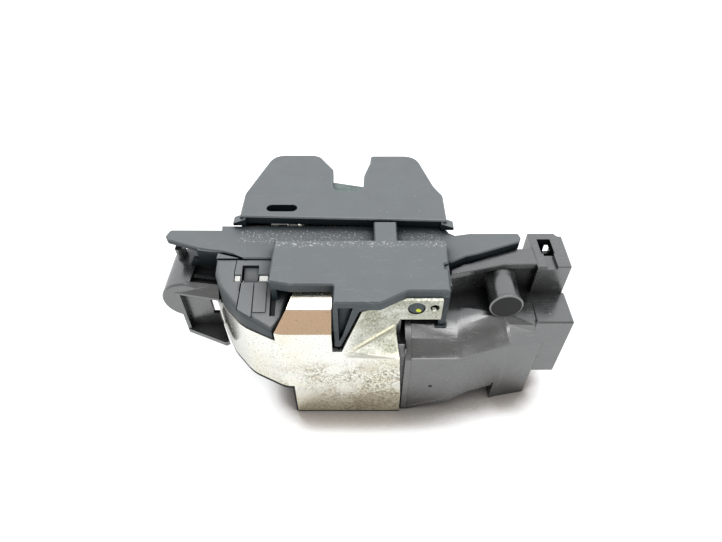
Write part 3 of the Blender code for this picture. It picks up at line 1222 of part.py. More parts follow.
def make_switch(body_finish, button_finish):
    """Micro switch beside the pawl's tail, and its button."""
    low = PLATE_TOP + GAP
    right = TAIL_RIGHT - TAIL_WIDTH - 0.0028
    back = TAIL_END + 0.0052
    body = prism("switch_body", box_outline(right - 0.0064, TAIL_END - 0.0004, right, back), low, low + 0.0027,
                 body_finish, edge=0.0003)
    middle = TAIL_END + 0.0020
    room = prism("button_room", box_outline(right - 0.0040, middle - 0.0009 - RUNNING, right + REACH,
                                            middle + 0.0009 + RUNNING), low + 0.0008 - RUNNING,
                 low + 0.0020 + RUNNING)
    built(body, (), [room])
    button = prism("switch_button", box_outline(right - 0.0014, middle - 0.0009, right + 0.0025, middle + 0.0009),
                   low + 0.0008, low + 0.0020, button_finish)
    return button


def make_screw(name, x, y, head_at, way, length, finish):
    """Countersunk self-tapping screw; way is 1 when the head is on top."""
    rings = [
        (circle((x, y), 0.0030, 20), head_at),
        (circle((x, y), 0.0030, 20), head_at - way * 0.0002),
        (circle((x, y), 0.0013, 20), head_at - way * 0.0015),
        (circle((x, y), 0.0013, 20), head_at - way * length),
    ]
    screw = stack(name, rings, finish)
    deep = 0.0007
    slot_low, slot_high = sorted((head_at - way * deep, head_at + way * REACH))
    cross = prism("cross", box_outline(x - 0.0019, y - 0.0004, x + 0.0019, y + 0.0004), slot_low, slot_high)
    second = prism("second", box_outline(x - 0.0004, y - 0.0019, x + 0.0004, y + 0.0019), slot_low, slot_high)
    return built(screw, (), [cross, second])


def make_pan_screw(name, x, y, finish):
    """Pan-head screw that holds the bracket's plate to the housing."""
    low = PLATE_TOP + GAP
    rings = [
        (circle((x, y), 0.0013, 20), HOUSING_TOP - 0.0070),
        (circle((x, y), 0.0013, 20), low),
        (circle((x, y), 0.0026, 20), low),
        (circle((x, y), 0.0026, 20), low + 0.0011),
        (circle((x, y), 0.0018, 20), low + 0.0016),
    ]
    screw = stack(name, rings, finish)
    cross = prism("cross", box_outline(x - 0.0012, y - 0.0003, x + 0.0012, y + 0.0003), low + 0.0008, TOP)
    second = prism("second", box_outline(x - 0.0003, y - 0.0012, x + 0.0003, y + 0.0012), low + 0.0008, TOP)
    return built(screw, (), [cross, second])


def make_buffer(finish):
    """Rubber buffer under the plate, where the striker comes to rest."""
    top = PLATE_TOP - SHEET - GAP
    back = NOTCH_BOTTOM - 0.0002
    outline = rounded([
        (STRIKER_X - 0.0050, back - 0.0080, 0.0010), (STRIKER_X + 0.0050, back - 0.0080, 0.0010),
        (STRIKER_X + 0.0046, back, 0.0014), (STRIKER_X - 0.0046, back, 0.0014),
    ])
    block = prism("striker_buffer", outline, top - 0.0060, top, finish)
    stem = prism("stem", circle((STRIKER_X, NOTCH_BOTTOM - 0.0045), 0.0014, 20), top - 0.0010, PLATE_TOP - 0.0001)
    return built(block, [stem])


def make_terminals(finish):
    """Four blades standing in the connector socket."""
    ceiling = SOCKET_BOTTOM + SOCKET_DEPTH
    middle_x = (SOCKET_LEFT + SOCKET_RIGHT) / 2
    middle_y = (SOCKET_FRONT + SOCKET_BACK) / 2
    for index in range(4):
        x = middle_x + (index % 2 * 2 - 1) * 0.0022
        y = middle_y + (index // 2 * 2 - 1) * 0.0022
        blade = box_outline(x - 0.0003, y - 0.0011, x + 0.0003, y + 0.0011)
        prism(f"terminal_{index + 1}", blade, ceiling - 0.0085, ceiling - GAP, finish, edge=0.0002)


def main():
    clear_scene()
    matt = material("matt_black", (0.105, 0.110, 0.118), 0.55)
    satin = material("satin_black", (0.070, 0.075, 0.083), 0.38)
    gloss = material("housing_black", (0.045, 0.047, 0.052), 0.35)
    zinc = material("zinc", (0.78, 0.76, 0.66), 0.34, 0.85)
    steel = material("steel", (0.42, 0.42, 0.43), 0.35, 1.0)
    wire = material("spring_steel", (0.30, 0.30, 0.32), 0.30, 1.0)
    acetal = material("white_acetal", (0.80, 0.80, 0.76), 0.45)
    rubber = material("rubber", (0.03, 0.03, 0.03), 0.85)
    brass = material("brass", (0.72, 0.55, 0.30), 0.30, 1.0)

    make_housing(gloss)
    make_bottom_cover(gloss)
    make_carrier(matt)
    make_clip_bar(acetal)
    make_front_cover(satin)
    make_ear_cover(matt)
    make_bracket(zinc)
    make_claw(steel)
    make_pawl(steel)
    pin_top = PLATE_TOP + GAP + CLAW_THICKNESS + 0.0030
    make_pin("claw_pin", CLAW_X, CLAW_Y, CLAW_BORE, 0.0024, pin_top, steel)
    make_pin("pawl_pin", PAWL_X, PAWL_Y, PAWL_BORE, 0.0020, pin_top, steel)
    make_pin("lever_pin", LEVER_X, LEVER_Y, LEVER_BORE, 0.0013, CARRIER_TOP - 0.0012 - GAP, steel)
    spring_low = PLATE_TOP + GAP + CLAW_THICKNESS + GAP
    make_spring("claw_spring", CLAW_X, CLAW_Y, 0.0044, 0.0009, spring_low, 2.0, 200, 0.0044, wire)
    make_spring("pawl_spring", PAWL_X, PAWL_Y, 0.0038, 0.0008, spring_low, 2.0, 20, 0.0040, wire)
    make_buffer(rubber)
    make_lever(acetal)
    make_cam(acetal)
    make_wheel(acetal)
    make_worm(steel, brass)
    prism("wheel_axle", circle((WHEEL_X, WHEEL_Y), AXLE_RADIUS), 0.0034, PLATE_TOP + LEVER_THICKNESS, steel)
    make_motor(steel, matt, brass)
    make_switch(gloss, acetal)
    make_terminals(brass)
    for index, (x, y) in enumerate(PLATE_SCREWS):
        make_pan_screw(f"bracket_screw_{index + 1}", x, y, steel)
    for index, (x, y, lift) in enumerate(COVER_SCREWS):
        make_screw(f"cover_screw_{index + 1}", x, y, lift + STEP, -1, 0.0090, steel)


main()
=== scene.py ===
# %% [markdown]
# # Dressing a boot lid lock
# The solids of the lock are already modelled and packed as a fixed frame. This lesson dresses them:
# soft moulded edges, plastics that carry dust and hairline scratches, plated steel with pits and a
# yellow cast, a plain studio and a camera. The frame is loaded first, because each piece is placed by it.

# %% Load the frame
import json
import math
import random

import bmesh
import bpy
from mathutils import Matrix, Vector


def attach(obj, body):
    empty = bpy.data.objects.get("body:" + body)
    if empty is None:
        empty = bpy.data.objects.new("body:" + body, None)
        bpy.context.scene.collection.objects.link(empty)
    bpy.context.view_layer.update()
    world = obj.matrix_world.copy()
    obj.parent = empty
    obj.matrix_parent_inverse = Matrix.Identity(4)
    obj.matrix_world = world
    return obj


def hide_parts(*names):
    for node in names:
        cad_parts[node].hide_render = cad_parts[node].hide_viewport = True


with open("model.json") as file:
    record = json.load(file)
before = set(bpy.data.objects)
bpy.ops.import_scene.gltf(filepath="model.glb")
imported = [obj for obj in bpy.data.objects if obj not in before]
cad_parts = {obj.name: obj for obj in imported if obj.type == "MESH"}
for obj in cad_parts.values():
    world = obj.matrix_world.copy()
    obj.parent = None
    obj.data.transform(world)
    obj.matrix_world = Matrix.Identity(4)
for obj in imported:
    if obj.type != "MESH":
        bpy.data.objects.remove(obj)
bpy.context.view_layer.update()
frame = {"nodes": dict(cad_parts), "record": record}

nodes = frame["nodes"]
body_of_node = {
    name: body for body, names in frame["record"]["behaviour"]["bodies"].items() for name in names
}

# %% [markdown]
# ## Camera
# The camera stands in front of the lock and above it, close enough for the wide view of the
# photograph. Its place and tilt were found by matching corners of the lock in the picture.

# %% Camera
CAMERA_PLACE = (0.0004, -0.139, 0.180)
CAMERA_TILT = math.radians(44)
CAMERA_LENS_MM = 25.98

camera_data = bpy.data.cameras.new("camera")
camera_data.lens = CAMERA_LENS_MM
camera_data.sensor_width = 36.0
camera_data.clip_start = 0.01
camera = bpy.data.objects.new("camera", camera_data)
bpy.context.scene.collection.objects.link(camera)
camera.location = CAMERA_PLACE
camera.rotation_euler = (CAMERA_TILT, 0.0, 0.0)
bpy.context.scene.camera = camera
bpy.context.scene.view_settings.view_transform = "Standard"
print("camera at", tuple(camera.location))

# %% [markdown]
# ## Small helpers for finishes
# A finish is a Principled shader with textures wired into it. The textures are read in object
# coordinates, in metres, so a grain of half a millimetre has the same size on every piece and the
# pattern stays on the piece when it moves. Three helpers keep the later cells short: one adds a
# texture or maths node with its settings, one wires two nodes, and one makes a ramp.

# %% Node helpers
def new_finish(name, colour, roughness, metallic=0.0):
    finish = bpy.data.materials.new(name)
    finish.use_nodes = True
    shader = finish.node_tree.nodes["Principled BSDF"]
    shader.inputs["Base Color"].default_value = (*colour, 1.0)
    shader.inputs["Roughness"].default_value = roughness
    shader.inputs["Metallic"].default_value = metallic
    finish.diffuse_color = (*colour, 1.0)
    return finish, finish.node_tree, shader


def add_node(tree, kind, **settings):
    node = tree.nodes.new(kind)
    for key, value in settings.items():
        socket = key.replace("_", " ").title()
        if socket in node.inputs:
            node.inputs[socket].default_value = value
        else:
            setattr(node, key, value)
    return node


def wire(tree, source, output, target, entry):
    tree.links.new(source.outputs[output], target.inputs[entry])
    return target


def ramp(tree, source, output, stops):
    node = tree.nodes.new("ShaderNodeValToRGB")
    points = node.color_ramp.elements
    while len(points) < len(stops):
        points.new(0.5)
    for point, (position, colour) in zip(points, stops):
        point.position = position
        point.color = (*colour, 1.0) if isinstance(colour, tuple) else (colour, colour, colour, 1.0)
    return wire(tree, source, output, node, "Fac")


def times(colour, share):
    return tuple(min(1.0, part * share) for part in colour)


def colour_output(node):
    return node.outputs["Color"] if "Color" in node.outputs else node.outputs[2]


def mixed(tree, first, second, amount):
    """Mix two colours. Each is a node or a plain colour, and the amount is a node or a number."""
    node = tree.nodes.new("ShaderNodeMix")
    node.data_type = "RGBA"
    for socket, value in ((6, first), (7, second)):
        if isinstance(value, tuple):
            node.inputs[socket].default_value = (*value, 1.0)
        else:
            tree.links.new(colour_output(value), node.inputs[socket])
    if isinstance(amount, (int, float)):
        node.inputs[0].default_value = amount
    else:
        tree.links.new(amount.outputs[0], node.inputs[0])
    return node


def maths(tree, operation, first, second):
    """Each value is a number, a node, or a node with the name of its output."""
    node = tree.nodes.new("ShaderNodeMath")
    node.operation = operation
    for entry, value in zip(node.inputs, (first, second)):
        if isinstance(value, (int, float)):
            entry.default_value = value
        else:
            source, output = value if isinstance(value, tuple) else (value, 0)
            tree.links.new(source.outputs[output], entry)
    return node


# %% [markdown]
# ## Surface marks
# Handling leaves three kinds of mark on moulded plastic. Cloudy patches come from slightly uneven
# gloss, dust settles as small pale specks on faces that look up, and hairline scratches run in a few
# loose directions. Each is a noise that is cut to a narrow band, which gives specks or thin curved
# lines instead of clouds.

# %% Marks made from noise
def place_of(tree):
    return add_node(tree, "ShaderNodeTexCoord")


def noise(tree, coords, scale, detail=3.0, roughness=0.5, distortion=0.0):
    node = add_node(tree, "ShaderNodeTexNoise", scale=scale, detail=detail, roughness=roughness,
                    distortion=distortion)
    return wire(tree, coords, coords_output(coords), node, "Vector")


def coords_output(node):
    return "Object" if node.bl_idname == "ShaderNodeTexCoord" else "Vector"


def stretched(tree, coords, turn, scale):
    node = add_node(tree, "ShaderNodeMapping")
    node.inputs["Rotation"].default_value = turn
    node.inputs["Scale"].default_value = scale
    return wire(tree, coords, coords_output(coords), node, "Vector")


def hairlines(tree, coords, turn, width, keep):
    """Thin scratches along one direction: a stretched noise cut to a band and broken up by a second."""
    lines = noise(tree, stretched(tree, coords, turn, (45.0, 700.0, 700.0)), 1.0, 2.0, 0.6, 0.3)
    band = ramp(tree, lines, "Fac", [(0.5 - width, 0.0), (0.5, 1.0), (0.5 + width, 0.0)])
    patches = noise(tree, coords, 110.0, 2.0)
    shown = ramp(tree, patches, "Fac", [(keep, 0.0), (keep + 0.04, 1.0)])
    return maths(tree, "MULTIPLY", band, shown)


def specks(tree, coords, scale, amount):
    dots = noise(tree, coords, scale, 2.0, 0.6)
    return ramp(tree, dots, "Fac", [(amount, 0.0), (amount + 0.03, 1.0)])


def upward(tree, coords):
    """1 on faces that look up, 0 on walls."""
    split = add_node(tree, "ShaderNodeSeparateXYZ")
    wire(tree, coords, "Normal", split, "Vector")
    node = tree.nodes.new("ShaderNodeMapRange")
    node.inputs["From Min"].default_value = 0.3
    node.inputs["From Max"].default_value = 0.9
    tree.links.new(split.outputs["Z"], node.inputs["Value"])
    return node


def between(tree, source, output, low, high):
    """0 below low, 1 above high, with a straight slope between."""
    node = tree.nodes.new("ShaderNodeMapRange")
    node.inputs["From Min"].default_value = low
    node.inputs["From Max"].default_value = high
    tree.links.new(source.outputs[output], node.inputs["Value"])
    return node


def openness(tree, reach, low, high):
    """0 deep in a corner or a hollow, 1 on an open face."""
    node = add_node(tree, "ShaderNodeAmbientOcclusion", samples=6)
    node.inputs["Distance"].default_value = reach
    return ramp(tree, node, "AO", [(low, 0.0), (high, 1.0)])


def bumped(tree, shader, height, strength, distance):
    node = add_node(tree, "ShaderNodeBump")
    node.inputs["Strength"].default_value = strength
    node.inputs["Distance"].default_value = distance
    tree.links.new(height.outputs[0], node.inputs["Height"])
    tree.links.new(node.outputs["Normal"], shader.inputs["Normal"])
    return node


# %% [markdown]
# ## Moulded plastics
# The covers, the carrier and the housing are black glass-filled plastic that looks grey under a bright
# sky. They differ in gloss: the ear cover and the wings are matt, the front cover is satin with many
# fine scratches, and the housing is the glossiest. One maker with a few numbers covers all three. A
# second, paler version is made for each and laid on the rounded edges: its lighter colour is a painted
# highlight.

# %% Plastic maker
def moulded(name, colour, roughness, grain, scratch_keep, walls, band, dust=(0.72, 0.45),
            depth=(0.55, 0.96)):
    """Walls is the share of shine kept on faces that don't look up, and band is where dust lies thick."""
    dust_amount, dust_share = dust
    finish, tree, shader = new_finish(name, colour, roughness)
    shader.inputs["IOR"].default_value = 1.9
    coords = place_of(tree)
    clouds = noise(tree, coords, 55.0, 5.0, 0.6)
    base = ramp(tree, clouds, "Fac", [(0.32, times(colour, 0.86)), (0.68, times(colour, 1.14))])
    first = hairlines(tree, coords, (0.0, 0.0, 0.5), 0.006, scratch_keep)
    second = hairlines(tree, coords, (0.3, 0.2, -0.9), 0.005, scratch_keep + 0.03)
    scratches = maths(tree, "MAXIMUM", first, second)
    scratch_grey = tuple(part + 0.16 for part in colour)
    scratched = mixed(tree, base, scratch_grey, maths(tree, "MULTIPLY", scratches, 0.6))
    split = add_node(tree, "ShaderNodeSeparateXYZ")
    wire(tree, coords, "Object", split, "Vector")
    sides = (("Y", 0, 0.002), ("Y", 1, -0.001), ("Z", 2, -0.0005), ("X", 3, 0.001), ("X", 4, -0.001))
    swept = 1.0
    for axis, limit, soft in sides:
        swept = maths(tree, "MULTIPLY", swept, between(tree, split, axis, band[limit], band[limit] + soft))
    thick = maths(tree, "MULTIPLY", specks(tree, coords, 1500.0, 0.60), swept)
    thin = maths(tree, "MULTIPLY", specks(tree, coords, 1300.0, dust_amount), dust_share)
    settled = maths(tree, "MULTIPLY", maths(tree, "MAXIMUM", thick, thin), upward(tree, coords))
    dusty = mixed(tree, scratched, (0.55, 0.55, 0.53), settled)
    # Painted shade: the colour darkens in hollows and corners by ambient occlusion, and the shine is
    # lowered there too.
    hollow = openness(tree, 0.012, *depth)
    shaded = mixed(tree, times(colour, 0.35), dusty, hollow)
    tree.links.new(shaded.outputs[2], shader.inputs["Base Color"])
    shine = ramp(tree, hollow, "Color", [(0.0, 0.12), (1.0, 1.0)])
    level = ramp(tree, upward(tree, coords), "Result", [(0.0, walls), (1.0, 1.0)])
    tree.links.new(maths(tree, "MULTIPLY", shine, level).outputs[0], shader.inputs["Specular IOR Level"])
    gloss = ramp(tree, noise(tree, coords, 130.0, 4.0), "Fac",
                 [(0.3, roughness - 0.06), (0.7, roughness + 0.07)])
    tree.links.new(gloss.outputs["Color"], shader.inputs["Roughness"])
    fine = noise(tree, coords, 3200.0, 2.0, 0.6)
    height = maths(tree, "SUBTRACT", fine, maths(tree, "MULTIPLY", scratches, 1.5))
    bumped(tree, shader, height, grain, 0.00006)
    print("finish", name, "gloss", round(1 - roughness, 2))
    return finish


EAR_GREY = (0.026, 0.038, 0.042)
COVER_GREY = (0.017, 0.030, 0.036)
HOUSING_GREY = (0.018, 0.019, 0.020)

# Where dust lies thick: from and to along Y, the highest Z, then from and to along X.
BACK_EDGE = (-0.0145, -0.0105, 0.0650, -0.0330, 0.0300)
CHANNEL = (-0.0085, -0.0008, 0.0600, -0.0420, 0.0290)
NOWHERE = (1.0, 1.1, 1.0, 1.0, 1.1)
EDGE_DUST = (0.75, 0.3)
OPEN_HOLLOWS = (0.28, 0.80)
plastics = {
    "matt": moulded("matt_plastic", EAR_GREY, 0.42, 0.35, 0.62, 0.22, CHANNEL),
    "satin": moulded("satin_plastic", COVER_GREY, 0.30, 0.16, 0.50, 0.30, BACK_EDGE),
    "housing": moulded("housing_plastic", HOUSING_GREY, 0.25, 0.14, 0.52, 1.0, NOWHERE,
                       depth=OPEN_HOLLOWS),
}
# Paler copies for the bevel faces: their lighter colour is a painted highlight on the rounded edges.
edges = {
    "matt": moulded("matt_highlight_edge", times(EAR_GREY, 2.6), 0.30, 0.20, 0.62, 0.7, CHANNEL, EDGE_DUST),
    "satin": moulded("satin_highlight_edge", times(COVER_GREY, 2.8), 0.24, 0.10, 0.52, 0.7, BACK_EDGE, EDGE_DUST),
    "housing": moulded("housing_highlight_edge", times(HOUSING_GREY, 3.5), 0.18, 0.08, 0.56, 1.0, NOWHERE, EDGE_DUST,
                       OPEN_HOLLOWS),
}

# %% [markdown]
# ## Plated steel
# The bracket is pressed from sheet and zinc plated with a pale yellow passivation. It mirrors the
# white floor in front of it, so it is a metal with a light base colour. Age shows as dark pits that
# crowd together on the wall, brown stains and a dull greenish mottle on the bent arm. Painted light is
# laid on top: painted reflections darken the plate towards its bottom and its left end and tint the
# sloping facet warm, painted shade darkens the arm, and a pale painted highlight and dark painted shade
# mark the ridge and the folds beside it.

# %% Zinc
ARM_LEFT, ARM_BOTTOM = -0.006, 0.0345
FACET_LOW, FACET_HIGH, FACET_RIGHT = 0.0476, 0.0536, -0.0088
RIDGE = ((-0.0050, 0.0383), (0.0118, 0.0470))
GROOVE = ((-0.0050, 0.0370), (0.0118, 0.0457))
FOLD = ((-0.0050, 0.0362), (0.0133, 0.0352))


def both(tree, first, second):
    """The product: 1 only where both are 1."""
    return maths(tree, "MULTIPLY", first, second)


def near_line(tree, split, start, end, width):
    """1 on a straight line of the X-Z plane, falling to 0 at the given half width on both sides."""
    run = Vector((end[0] - start[0], end[1] - start[1]))
    across = Vector((-run.y, run.x)).normalized()
    offset = across.x * start[0] + across.y * start[1]
    along_x = maths(tree, "MULTIPLY", (split, "X"), across.x)
    along_z = maths(tree, "MULTIPLY", (split, "Z"), across.y)
    signed = maths(tree, "SUBTRACT", maths(tree, "ADD", along_x, along_z), offset)
    away = maths(tree, "ABSOLUTE", signed, 0.0)
    line = between(tree, away, "Value", width, width * 0.35)
    inside = maths(tree, "MULTIPLY", between(tree, split, "X", start[0], start[0] + 0.002),
                   between(tree, split, "X", end[0], end[0] - 0.001))
    return maths(tree, "MULTIPLY", line, inside)


def plated(name):
    finish, tree, shader = new_finish(name, (0.95, 0.93, 0.85), 0.26, 1.0)
    coords = place_of(tree)
    split = add_node(tree, "ShaderNodeSeparateXYZ")
    wire(tree, coords, "Object", split, "Vector")
    cast = ramp(tree, noise(tree, coords, 60.0, 4.0, 0.6, 0.4), "Fac",
                [(0.36, (0.97, 0.97, 0.93)), (0.55, (0.95, 0.94, 0.84)), (0.72, (0.88, 0.85, 0.68))])
    # Painted reflection of the floor's shadow: the plate turns darker and yellower towards its bottom edge.
    low_shadow_reflection = mixed(tree, (0.86, 0.81, 0.62), cast, between(tree, split, "Z", 0.001, 0.016))
    # Painted reflection: the sloping facet gets a warm reddish-brown tint.
    facet = both(tree, between(tree, split, "Z", FACET_LOW, FACET_LOW + 0.0005),
                 between(tree, split, "X", FACET_RIGHT, FACET_RIGHT - 0.0004))
    facet = both(tree, facet, between(tree, split, "Z", FACET_HIGH, FACET_HIGH - 0.0005))
    warm_facet_reflection = mixed(tree, low_shadow_reflection, (0.98, 0.70, 0.47), facet)
    # The bent arm gets a dull greenish mottle of its own, and that darkening is also painted shade of its
    # sloping faces.
    arm = both(tree, between(tree, split, "X", ARM_LEFT, ARM_LEFT + 0.007),
               between(tree, split, "Z", ARM_BOTTOM, ARM_BOTTOM + 0.003))
    grain = ramp(tree, noise(tree, coords, 1500.0, 4.0, 0.75), "Fac", [(0.36, 1.0), (0.64, 0.45)])
    blotches = ramp(tree, noise(tree, coords, 200.0, 4.0, 0.6), "Fac", [(0.36, 0.60), (0.60, 1.0)])
    dull_and_shade = both(tree, both(tree, arm, blotches), grain)
    # Painted reflection: the plate is darker towards its left end, where the band curves away.
    left_dark_reflection = maths(tree, "MULTIPLY", between(tree, split, "X", -0.036, -0.054), 0.6)
    shaded = mixed(tree, warm_facet_reflection, (0.50, 0.48, 0.41), left_dark_reflection)
    tinted = mixed(tree, shaded, (0.22, 0.23, 0.15), dull_and_shade)
    # Painted highlight along the ridge of the arm, and painted shade in the groove below it and along the
    # fold.
    ridge = near_line(tree, split, *RIDGE, 0.0009)
    groove = near_line(tree, split, *GROOVE, 0.0005)
    fold = near_line(tree, split, *FOLD, 0.0011)
    tinted = mixed(tree, tinted, (0.97, 0.93, 0.72), both(tree, ridge, arm))
    tinted = mixed(tree, tinted, (0.34, 0.31, 0.20), both(tree, groove, both(tree, arm, 0.8)))
    tinted = mixed(tree, tinted, (0.50, 0.49, 0.44), both(tree, fold, 0.75))
    crowd = ramp(tree, noise(tree, coords, 75.0, 3.0, 0.6), "Fac", [(0.40, 0.0), (0.52, 1.0)])
    wall = both(tree, between(tree, split, "X", -0.036, -0.012), between(tree, split, "Z", 0.035, 0.027))
    worms = ramp(tree, noise(tree, coords, 260.0, 5.0, 0.65, 1.6), "Fac",
                 [(0.470, 0.0), (0.50, 1.0), (0.530, 0.0)])
    marks = both(tree, maths(tree, "MAXIMUM", specks(tree, coords, 1100.0, 0.545), worms), crowd)
    marks = maths(tree, "MULTIPLY", marks, wall)
    few = maths(tree, "MULTIPLY", specks(tree, coords, 1700.0, 0.62), 0.9)
    marks = maths(tree, "MAXIMUM", marks, few)
    stain = ramp(tree, noise(tree, coords, 95.0, 5.0, 0.7, 0.8), "Fac",
                 [(0.53, 0.0), (0.58, 0.75), (0.66, 0.55)])
    stained = mixed(tree, tinted, (0.66, 0.58, 0.45), maths(tree, "MULTIPLY", stain, wall))
    pitted = mixed(tree, stained, (0.29, 0.26, 0.18), maths(tree, "MULTIPLY", marks, 0.85))
    tree.links.new(pitted.outputs[2], shader.inputs["Base Color"])
    gloss = mixed(tree, (0.24, 0.24, 0.24), (0.50, 0.50, 0.50), maths(tree, "MAXIMUM", marks, dull_and_shade))
    tree.links.new(gloss.outputs[2], shader.inputs["Roughness"])
    waves = noise(tree, coords, 150.0, 3.0)
    bumped(tree, shader, maths(tree, "SUBTRACT", waves, maths(tree, "MULTIPLY", marks, 0.5)), 0.14, 0.00012)
    return finish


zinc = plated("zinc_plate")
print("finish", zinc.name)

# %% [markdown]
# ## Bare steel, brass, white plastic and rubber
# The claw has a grey phosphate coat. The pawl, the pins and the springs are plain steel, the blades
# and the worm are brass, and the worm wheel is white acetal. They hide inside, but some show through
# the notch, the socket and the windows, so they get a brushed or cloudy look of their own.

# %% Other finishes
def metal(name, colour, roughness, along):
    finish, tree, shader = new_finish(name, colour, roughness, 1.0)
    coords = place_of(tree)
    brushed = noise(tree, stretched(tree, coords, (0.0, 0.0, 0.0), along), 1.0, 4.0, 0.6)
    base = ramp(tree, brushed, "Fac", [(0.3, times(colour, 0.75)), (0.7, times(colour, 1.2))])
    tree.links.new(base.outputs["Color"], shader.inputs["Base Color"])
    gloss = ramp(tree, noise(tree, coords, 300.0, 3.0), "Fac",
                 [(0.3, roughness - 0.08), (0.7, roughness + 0.12)])
    tree.links.new(gloss.outputs["Color"], shader.inputs["Roughness"])
    bumped(tree, shader, brushed, 0.12, 0.00004)
    return finish


def cloudy(name, colour, roughness, scale):
    finish, tree, shader = new_finish(name, colour, roughness)
    coords = place_of(tree)
    clouds = noise(tree, coords, scale, 4.0, 0.6)
    base = ramp(tree, clouds, "Fac", [(0.3, times(colour, 0.85)), (0.7, times(colour, 1.1))])
    tree.links.new(base.outputs["Color"], shader.inputs["Base Color"])
    bumped(tree, shader, noise(tree, coords, scale * 12, 2.0), 0.15, 0.00005)
    return finish


finishes = {
    "steel": metal("bright_steel", (0.56, 0.56, 0.55), 0.34, (900.0, 60.0, 900.0)),
    "spring_steel": metal("spring_wire", (0.36, 0.36, 0.38), 0.30, (200.0, 200.0, 1500.0)),
    "brass": metal("blade_brass", (0.80, 0.62, 0.34), 0.28, (900.0, 900.0, 80.0)),
    "white_acetal": cloudy("acetal", (0.80, 0.80, 0.76), 0.42, 160.0),
    "rubber": cloudy("buffer_rubber", (0.035, 0.035, 0.036), 0.80, 220.0),
    "matt_black": plastics["matt"],
    "satin_black": plastics["satin"],
    "housing_black": plastics["housing"],
    "zinc": zinc,
}
slot_of = {part["node"]: part["material_slot"] for part in frame["record"]["subparts"]}
for name, item in nodes.items():
    item.data.materials.clear()
    item.data.materials.append(finishes[slot_of[name]])
coated = metal("phosphated_steel", (0.22, 0.26, 0.245), 0.42, (260.0, 260.0, 260.0))
print("slots", sorted(set(slot_of.values())))

# %% [markdown]
# ## Soft edges
# A moulding has no knife edges: each corner has a small radius, and that radius is what catches the
# light in the photograph. The solids carry only their large radii, so each visible moulding gets a
# dressed copy that stands in the same place. Flat triangles are merged first, because a bevel runs
# cleanly only along real edges. The bevel's own faces take the paler edge finish.

# %% Dressed copies
def flat_merged(mesh):
    bm = bmesh.new()
    bm.from_mesh(mesh)
    bmesh.ops.remove_doubles(bm, verts=bm.verts, dist=0.000002)
    bmesh.ops.dissolve_limit(bm, angle_limit=math.radians(0.6), verts=bm.verts, edges=bm.edges)
    bmesh.ops.recalc_face_normals(bm, faces=bm.faces)
    for face in bm.faces:
        face.material_index = 0
    bm.to_mesh(mesh)
    bm.free()


def open_edges(mesh):
    bm = bmesh.new()
    bm.from_mesh(mesh)
    count = sum(1 for edge in bm.edges if len(edge.link_faces) != 2)
    bm.free()
    return count


def dressed(node_name, finish, edge_finish, width, segments=2, angle=32):
    source = nodes[node_name]
    mesh = bpy.data.meshes.new(node_name + "_surface")
    bm = bmesh.new()
    bm.from_mesh(source.data)
    bm.to_mesh(mesh)
    bm.free()
    flat_merged(mesh)
    item = bpy.data.objects.new(node_name + "_surface", mesh)
    bpy.context.scene.collection.objects.link(item)
    mesh.materials.append(finish)
    mesh.materials.append(edge_finish)
    bevel = item.modifiers.new("soft_edge", "BEVEL")
    bevel.width = width
    bevel.segments = segments
    bevel.limit_method = "ANGLE"
    bevel.angle_limit = math.radians(angle)
    bevel.miter_outer = "MITER_ARC"
    bevel.use_clamp_overlap = True
    bevel.material = 1
    mesh.shade_smooth()
    mesh.set_sharp_from_angle(angle=math.radians(50))
    even = item.modifiers.new("even_normals", "WEIGHTED_NORMAL")
    even.keep_sharp = True
    even.weight = 80
    graph = bpy.context.evaluated_depsgraph_get()
    done = bpy.data.meshes.new_from_object(item.evaluated_get(graph))
    item.modifiers.clear()
    item.data = done
    done.name = node_name + "_surface"
    bpy.data.meshes.remove(mesh)
    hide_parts(node_name)
    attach(item, body_of_node[node_name])
    print("dressed", node_name, len(done.polygons), "faces, open edges", open_edges(done))
    return item


dressed_pieces = {
    "housing": dressed("housing", plastics["housing"], edges["housing"], 0.00045),
    "latch_carrier": dressed("latch_carrier", plastics["matt"], edges["matt"], 0.00022),
    "front_cover": dressed("front_cover", plastics["satin"], edges["satin"], 0.00025),
    "ear_cover": dressed("ear_cover", plastics["matt"], edges["matt"], 0.00025),
    "bottom_cover": dressed("bottom_cover", plastics["housing"], edges["housing"], 0.00025),
    "bracket": dressed("bracket", zinc, zinc, 0.00030),
    "claw": dressed("claw", coated, coated, 0.00025),
}

# %% [markdown]
# ## Three local touches
# The end face of the round boss is coloured almost black: painted shade. The pressed plate bows a
# little where it meets the sloping facet, and that bow is why it mirrors the light overhead. A thin
# near-black strip runs along the bracket's lower edge, where the lock meets the floor.

# %% Boss end, bowed plate and lower rim
BOSS_LEFT, BOSS_RIGHT, BOSS_LOW, BOSS_HIGH, BOSS_FRONT = 0.0425, 0.0543, 0.0425, 0.0537, -0.0278
BOW_DEGREES = 30
# Near-black finish: painted shade on the boss end; the lower strip and the pin mark use it as well.
shade_and_mark_black = cloudy("near_black_shade_finish", (0.010, 0.010, 0.011), 0.75, 300.0)
housing_mesh = dressed_pieces["housing"].data
housing_mesh.materials.append(shade_and_mark_black)
dark_faces = 0
for face in housing_mesh.polygons:
    x, y, z = face.center
    on_boss = BOSS_LEFT < x < BOSS_RIGHT and BOSS_LOW < z < BOSS_HIGH and y < BOSS_FRONT
    if on_boss and face.normal.y < -0.95:
        face.material_index = 2
        dark_faces += 1
print("boss end faces", dark_faces)

bracket_mesh = dressed_pieces["bracket"].data
bow = Vector((0.0, -math.sin(math.radians(BOW_DEGREES)), math.cos(math.radians(BOW_DEGREES))))
corners = [corner.vector.copy() for corner in bracket_mesh.corner_normals]
bowed = 0
for face in bracket_mesh.polygons:
    if face.normal.z > 0.97 and face.center.z > 0.053:
        bowed += 1
        for loop in face.loop_indices:
            corners[loop] = bow
bracket_mesh.normals_split_custom_set(corners)
print("bowed faces", bowed)


